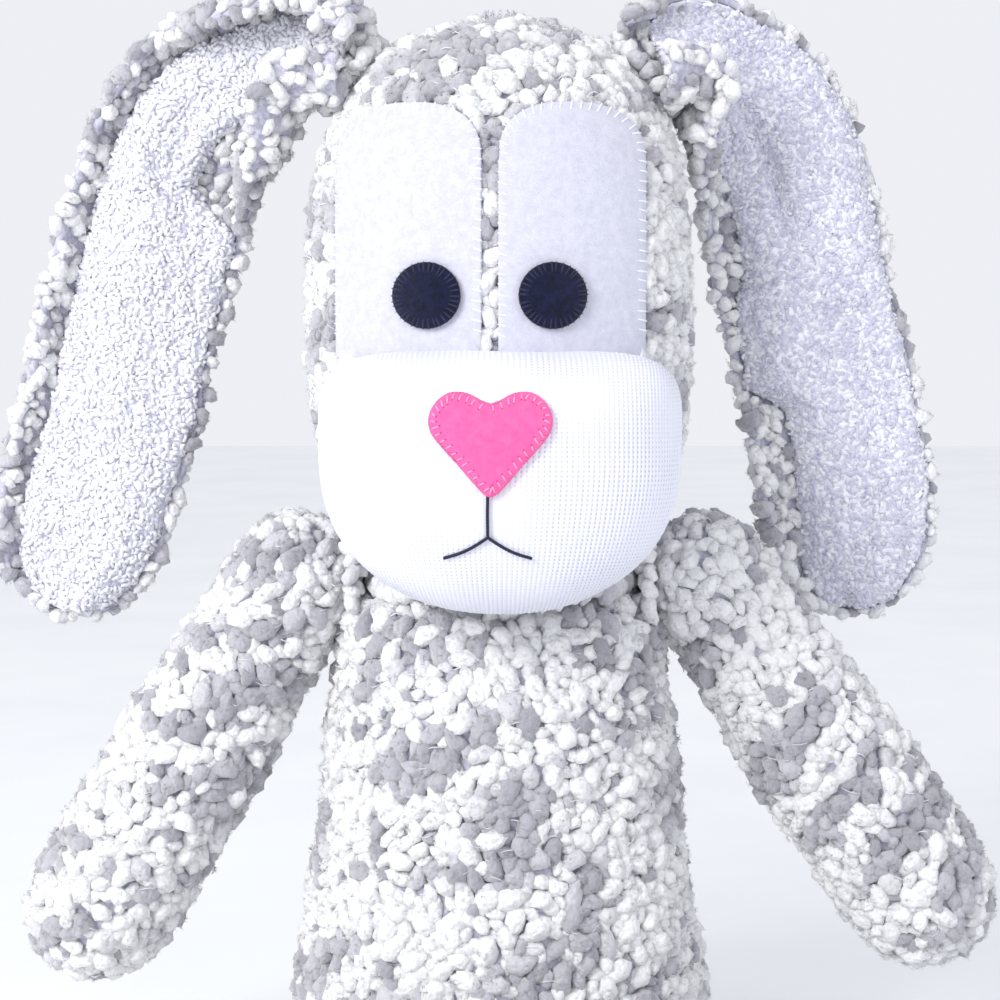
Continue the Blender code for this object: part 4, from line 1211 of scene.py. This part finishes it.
def ear_profile(side, share, half):
    """The cloth's section: sideways and forward places and forward normals at ACROSS, edges rolled in."""
    table = np.array(EAR_ROLL[side], float)
    inner, inner_flat, outer, outer_flat = (np.interp(share, table[:, 0], table[:, k]) for k in (1, 2, 3, 4))
    angle = np.zeros(len(ACROSS))
    for sign, turn, flat in ((-1, inner, inner_flat), (1, outer, outer_flat)):
        rows = ACROSS * sign >= 0
        rolled = np.clip((ACROSS[rows] * sign - flat) / (1 - flat), 0, 1)
        angle[rows] = sign * math.radians(turn) * rolled**1.15
    step = ACROSS[1] - ACROSS[0]
    side_way = np.cumsum(np.cos(angle)) * step
    forward = np.cumsum(np.sin(angle)) * step
    middle = len(ACROSS) // 2
    side_way -= side_way[middle]
    forward -= forward[middle]
    for rows, reach in ((slice(0, middle), -side_way.min()), (slice(middle, None), side_way.max())):
        side_way[rows] *= half / reach
        forward[rows] *= half / reach
    ripple = np.array([noise.noise(Vector((u * 1.5, share * 6.0, side * 3.0))) for u in ACROSS]) * 1.6 * MM
    if side > 0:
        pleat = 2.6 * MM * math.exp(-(((share - 0.30) / 0.13) ** 2))
        ripple -= pleat * np.exp(-(((ACROSS + 0.12) / 0.09) ** 2))
        ripple += 0.5 * pleat * np.exp(-(((ACROSS - 0.1) / 0.16) ** 2))
    return side_way, forward - 1.5 * MM + ripple, -np.sin(angle), np.cos(angle)


def ear_sheet(name, sections, low, high, cells):
    """A cloth layer of an ear between two lifts off its middle, as a closed thin form with a round rim."""
    points = []
    count = 2 * cells + 4
    for middle, across, facing, profile, inner, outer in sections:
        side_way, forward, normal_side, normal_forward = profile
        us = list(np.linspace(-inner, outer, cells + 1))
        ring = [(u, high) for u in us] + [(outer + 0.015, (low + high) / 2)]
        ring += [(u, low) for u in us[::-1]] + [(-inner - 0.015, (low + high) / 2)]
        for u, lift in ring:
            x, f, nx, nf = (np.interp(u, ACROSS, row) for row in (side_way, forward, normal_side, normal_forward))
            points.append(middle + across * (x + nx * lift) + facing * (f + nf * lift))
    faces = tube_faces(len(sections), count)
    for start in (0, (len(sections) - 1) * count):
        for k in range(cells):
            faces.append((start + k, start + k + 1, start + 2 * cells + 1 - k, start + 2 * cells + 2 - k))
        faces.append((start + cells, start + cells + 1, start + cells + 2))
        faces.append((start, start + 2 * cells + 2, start + 2 * cells + 3))
    obj = mesh_piece(name, points, faces)
    face_outwards(obj)
    return obj


def padded_out(side, share, profile, half, inner, outer):
    """The lining's own section: its thick pile stands forward in the middle and falls into soft lengthwise folds."""
    side_way, forward, normal_side, normal_forward = profile
    place = np.clip((ACROSS + inner) / (inner + outer), 0, 1)
    crown = np.sqrt(np.clip(1 - (2 * place - 1) ** 2, 0, 1))
    folds = np.array([noise.noise(Vector((u * 1.9 + 4.0, share * 3.2, side * 5.0))) for u in place])
    rise = half * (0.30 * crown + 0.24 * folds * crown)
    if side > 0:
        rise -= 2.6 * MM * np.exp(-(((place - 0.34) / 0.07) ** 2)) * math.exp(-(((share - 0.28) / 0.14) ** 2))
    return side_way, forward + rise, normal_side * 0.6, normal_forward


def ear(side):
    word = "left" if side > 0 else "right"
    body = f"ear_{word}"
    count = 84
    line, length = ear_line(side, count)
    table = np.array(EAR_ROLL[side], float)
    sections, lining = [], []
    for i, middle in enumerate(line):
        share = i / (count - 1)
        run = line[min(i + 1, count - 1)] - line[max(i - 1, 0)]
        run /= np.linalg.norm(run)
        outer = np.cross(run, [0, 1, 0]) * side
        outer /= np.linalg.norm(outer)
        front = np.cross(run, outer) * side
        twist = math.radians(20) * max(1 - share / 0.4, 0.0)
        across = outer * math.cos(twist) - front * math.sin(twist)
        facing = front * math.cos(twist) + outer * math.sin(twist)
        opened = 0.46 + 0.54 * min(share / 0.2, 1.0) ** 0.8
        tip = max(share - 0.80, 0.0) / 0.20
        half = EAR_HALF * opened * math.sqrt(max(1 - tip**2.4, 0.02))
        profile = ear_profile(side, share, half)
        sections.append((middle, across, facing, profile, 0.985, 0.985))
        reach = (np.interp(share, table[:, 0], table[:, k]) for k in (5, 6))
        inner_reach, outer_reach = reach
        lining.append((middle, across, facing, padded_out(side, share, profile, half, inner_reach, outer_reach),
                       inner_reach, outer_reach))
        if i == 0:
            start = run
    first = sections[0]
    sections = [(first[0] - start * 2.6 * MM * k, *first[1:]) for k in (3, 2, 1)] + sections

    outer_cloth = ear_sheet(f"ear_{word}_knit", sections, -2.6 * MM, -0.4 * MM, 40)
    dress(outer_cloth, GROUND, body, "popcorn_fabric", f"ear_{word}_outer")

    inner_cloth = ear_sheet(f"ear_{word}_pile_backing", lining[:-1], 0.0, 1.0 * MM, 40)
    clumps = np.array([noise.noise(Vector(p) * 330.0) for p in points_of(inner_cloth.data)])
    raised = normals_of(inner_cloth.data) * (clumps * 0.9 * MM)[:, None]
    move_points(inner_cloth.data, points_of(inner_cloth.data) + raised)
    spots, out = spots_on(inner_cloth, 1.05 * MM, 70 + side)
    chance = np.random.default_rng(80 + side)
    outside = surface_tree(outer_cloth)
    showing = np.array([outside.find_nearest(Vector(p))[3] > 1.0 * MM for p in spots], bool)
    spots, out = spots[showing], out[showing]
    attribute = inner_cloth.data.color_attributes.new("yarn", "FLOAT_COLOR", "POINT")
    attribute.data.foreach_set("color", np.tile([0.8, 1.0, 0.8, 1.0], len(inner_cloth.data.vertices)))
    dress(inner_cloth, PILE, body, "lining_fabric", f"ear_{word}_lining")
    sizes = chance.uniform(0.62, 0.98, len(spots)) * MM
    tint = chance.uniform(0, 1, len(spots))
    curls = scatter(f"ear_{word}_pile", CURLS, spots, out, sizes, 0.95, tint, 90 + side, lean=0.55, lift=0.3 * MM)
    dress(curls, PILE, body, "lining_fabric")

    clear = away_from(surface_tree(inner_cloth), 1.2 * MM)

    def keep(spots):
        """The left ear's outer edge is turned back, so that its pile reaches the very rim."""
        places = np.interp(-spots[:, 2], -line[:, 2], line[:, 0])
        rim = (spots[:, 0] - places > EAR_HALF * 0.70) & (spots[:, 1] < line[-1, 1] - 1.0 * MM)
        return clear(spots) & ~(rim & (side > 0) & (spots[:, 2] < line[0, 2] - 12 * MM))

    popcorn(f"ear_{word}", outer_cloth, body, 60 + side, sections[0][0], sections[-1][0], 0.5, 4.9 * MM, keep,
            period=34.0, size=0.84)


# ------------------------------------------------------------------ build it


def joint_place(name):
    return np.array(next(j for j in frame["joints"] if j["name"] == name)["pos_m"])


def skin(name, body, filling, node, lump, seed, voxel, fill, grow, swell=1.2 * MM):
    made = stuffed_form(name, filling, swell, lump, seed, voxel, grow)
    if name == "torso_knit":
        # the filling is packed out into the corners below the neck, where the arms are sewn on
        places = points_of(made.data)
        places[:, 0] *= 1 + 0.26 * np.exp(-(((places[:, 2] - 0.152) / 0.015) ** 2))
        move_points(made.data, places)
    dress(made, GROUND, body, "popcorn_fabric", node)
    return made


def build():
    covers = felt_face()
    nose_and_mouth()
    muzzle()
    rim = []
    for k in range(72):
        turn = 2 * math.pi * k / 72
        radius, rise = muzzle_rim(turn)
        radius *= 0.97
        rim.append((MUZZLE_WIDE * radius * math.cos(turn), MUZZLE_Z + rise * radius * math.sin(turn)))
    seen = not_under([*covers, rim])

    head = skin("head_knit", "head", "head_stuffing", "head_skin", 1.2 * MM, 1.0, 0.005, 0.9, 1.2 * MM)
    ends = (0, 0, HEAD_LOW[2]), (0, 0, HEAD_HIGH[2])
    popcorn("head", head, "head", 21, *ends, 0.35, keep=seen)
    binder_threads("head_binder", head, 22, 420, "head", keep=seen)

    torso = skin("torso_knit", "torso", "torso_stuffing", "torso_skin", 1.3 * MM, 5.0, 0.005, 0.9, 1.0 * MM)
    low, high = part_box("torso_skin")
    popcorn("torso", torso, "torso", 33, (0, 0, low[2]), (0, 0, high[2]), 0.75, floor=0.0, period=36.0)
    binder_threads("torso_binder", torso, 34, 620, "torso")

    tail = skin("tail_knit", "torso", "tail_stuffing", "tail_skin", 0.6 * MM, 9.0, 0.003, 0.8, 0.4 * MM, 1.0 * MM)
    low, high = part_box("tail_skin")
    middle = (low[2] + high[2]) / 2
    popcorn("tail", tail, "torso", 35, (0, low[1], middle), (0, high[1], middle), 0.4)

    for side, word in ((1, "left"), (-1, "right")):
        arm = skin(f"arm_{word}_knit", f"arm_{word}", f"arm_{word}_stuffing", f"arm_{word}_skin", 1.0 * MM,
                   13.0 + side, 0.004, 0.85, 1.6 * MM)
        root = joint_place(f"arm_{word}_raise")
        low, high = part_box(f"arm_{word}_skin")
        hand = (low[0] + 21 * MM if side < 0 else high[0] - 21 * MM, 0, low[2] + 21 * MM)
        popcorn(f"arm_{word}", arm, f"arm_{word}", 43 + side, root, hand, 0.55, period=27.0)
        binder_threads(f"arm_{word}_binder", arm, 46 + side, 220, f"arm_{word}")
        sewn_join(f"shoulder_{word}", f"arm_{word}_seam_thread", f"shoulder_{word}",
                  ((11.5, 0.0), (15.5, 1.2 * side)), 300 + side)

        leg = skin(f"leg_{word}_knit", f"leg_{word}", f"leg_{word}_stuffing", f"leg_{word}_skin", 1.0 * MM,
                   23.0 + side, 0.004, 0.85, 1.2 * MM)
        root = joint_place(f"hip_{word}_swing")
        low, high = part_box(f"leg_{word}_skin")
        foot = (low[0] + 25 * MM if side < 0 else high[0] - 25 * MM, low[1] + 25 * MM, root[2])
        popcorn(f"leg_{word}", leg, f"leg_{word}", 53 + side, root, foot, 0.5, floor=0.0, period=28.0)
        binder_threads(f"leg_{word}_binder", leg, 56 + side, 200, f"leg_{word}")
        sewn_join(f"hip_{word}", f"leg_{word}_seam_thread", f"leg_{word}", ((17.5, 0.0),), 310 + side)
        ear(side)
        sewn_join(f"ear_{word}_join", f"ear_{word}_seam_thread", "head", ((11.5, 0.8),), 320 + side)
    collar = ((27.5, 0.0), (31.0, -3.2), (31.0, 3.2), (35.0, -4.5), (35.0, 5.0))
    sewn_join("neck_join", "neck_seam_thread", "neck_thread", collar, 330, 3.2)
    sewn_join("crown_join", "crown_gather_thread", "head", (), 331, squeeze=0.6)
    sewn_join("tail_join", "tail_seam_thread", "torso", ((13.5, 0.0),), 332)


build()
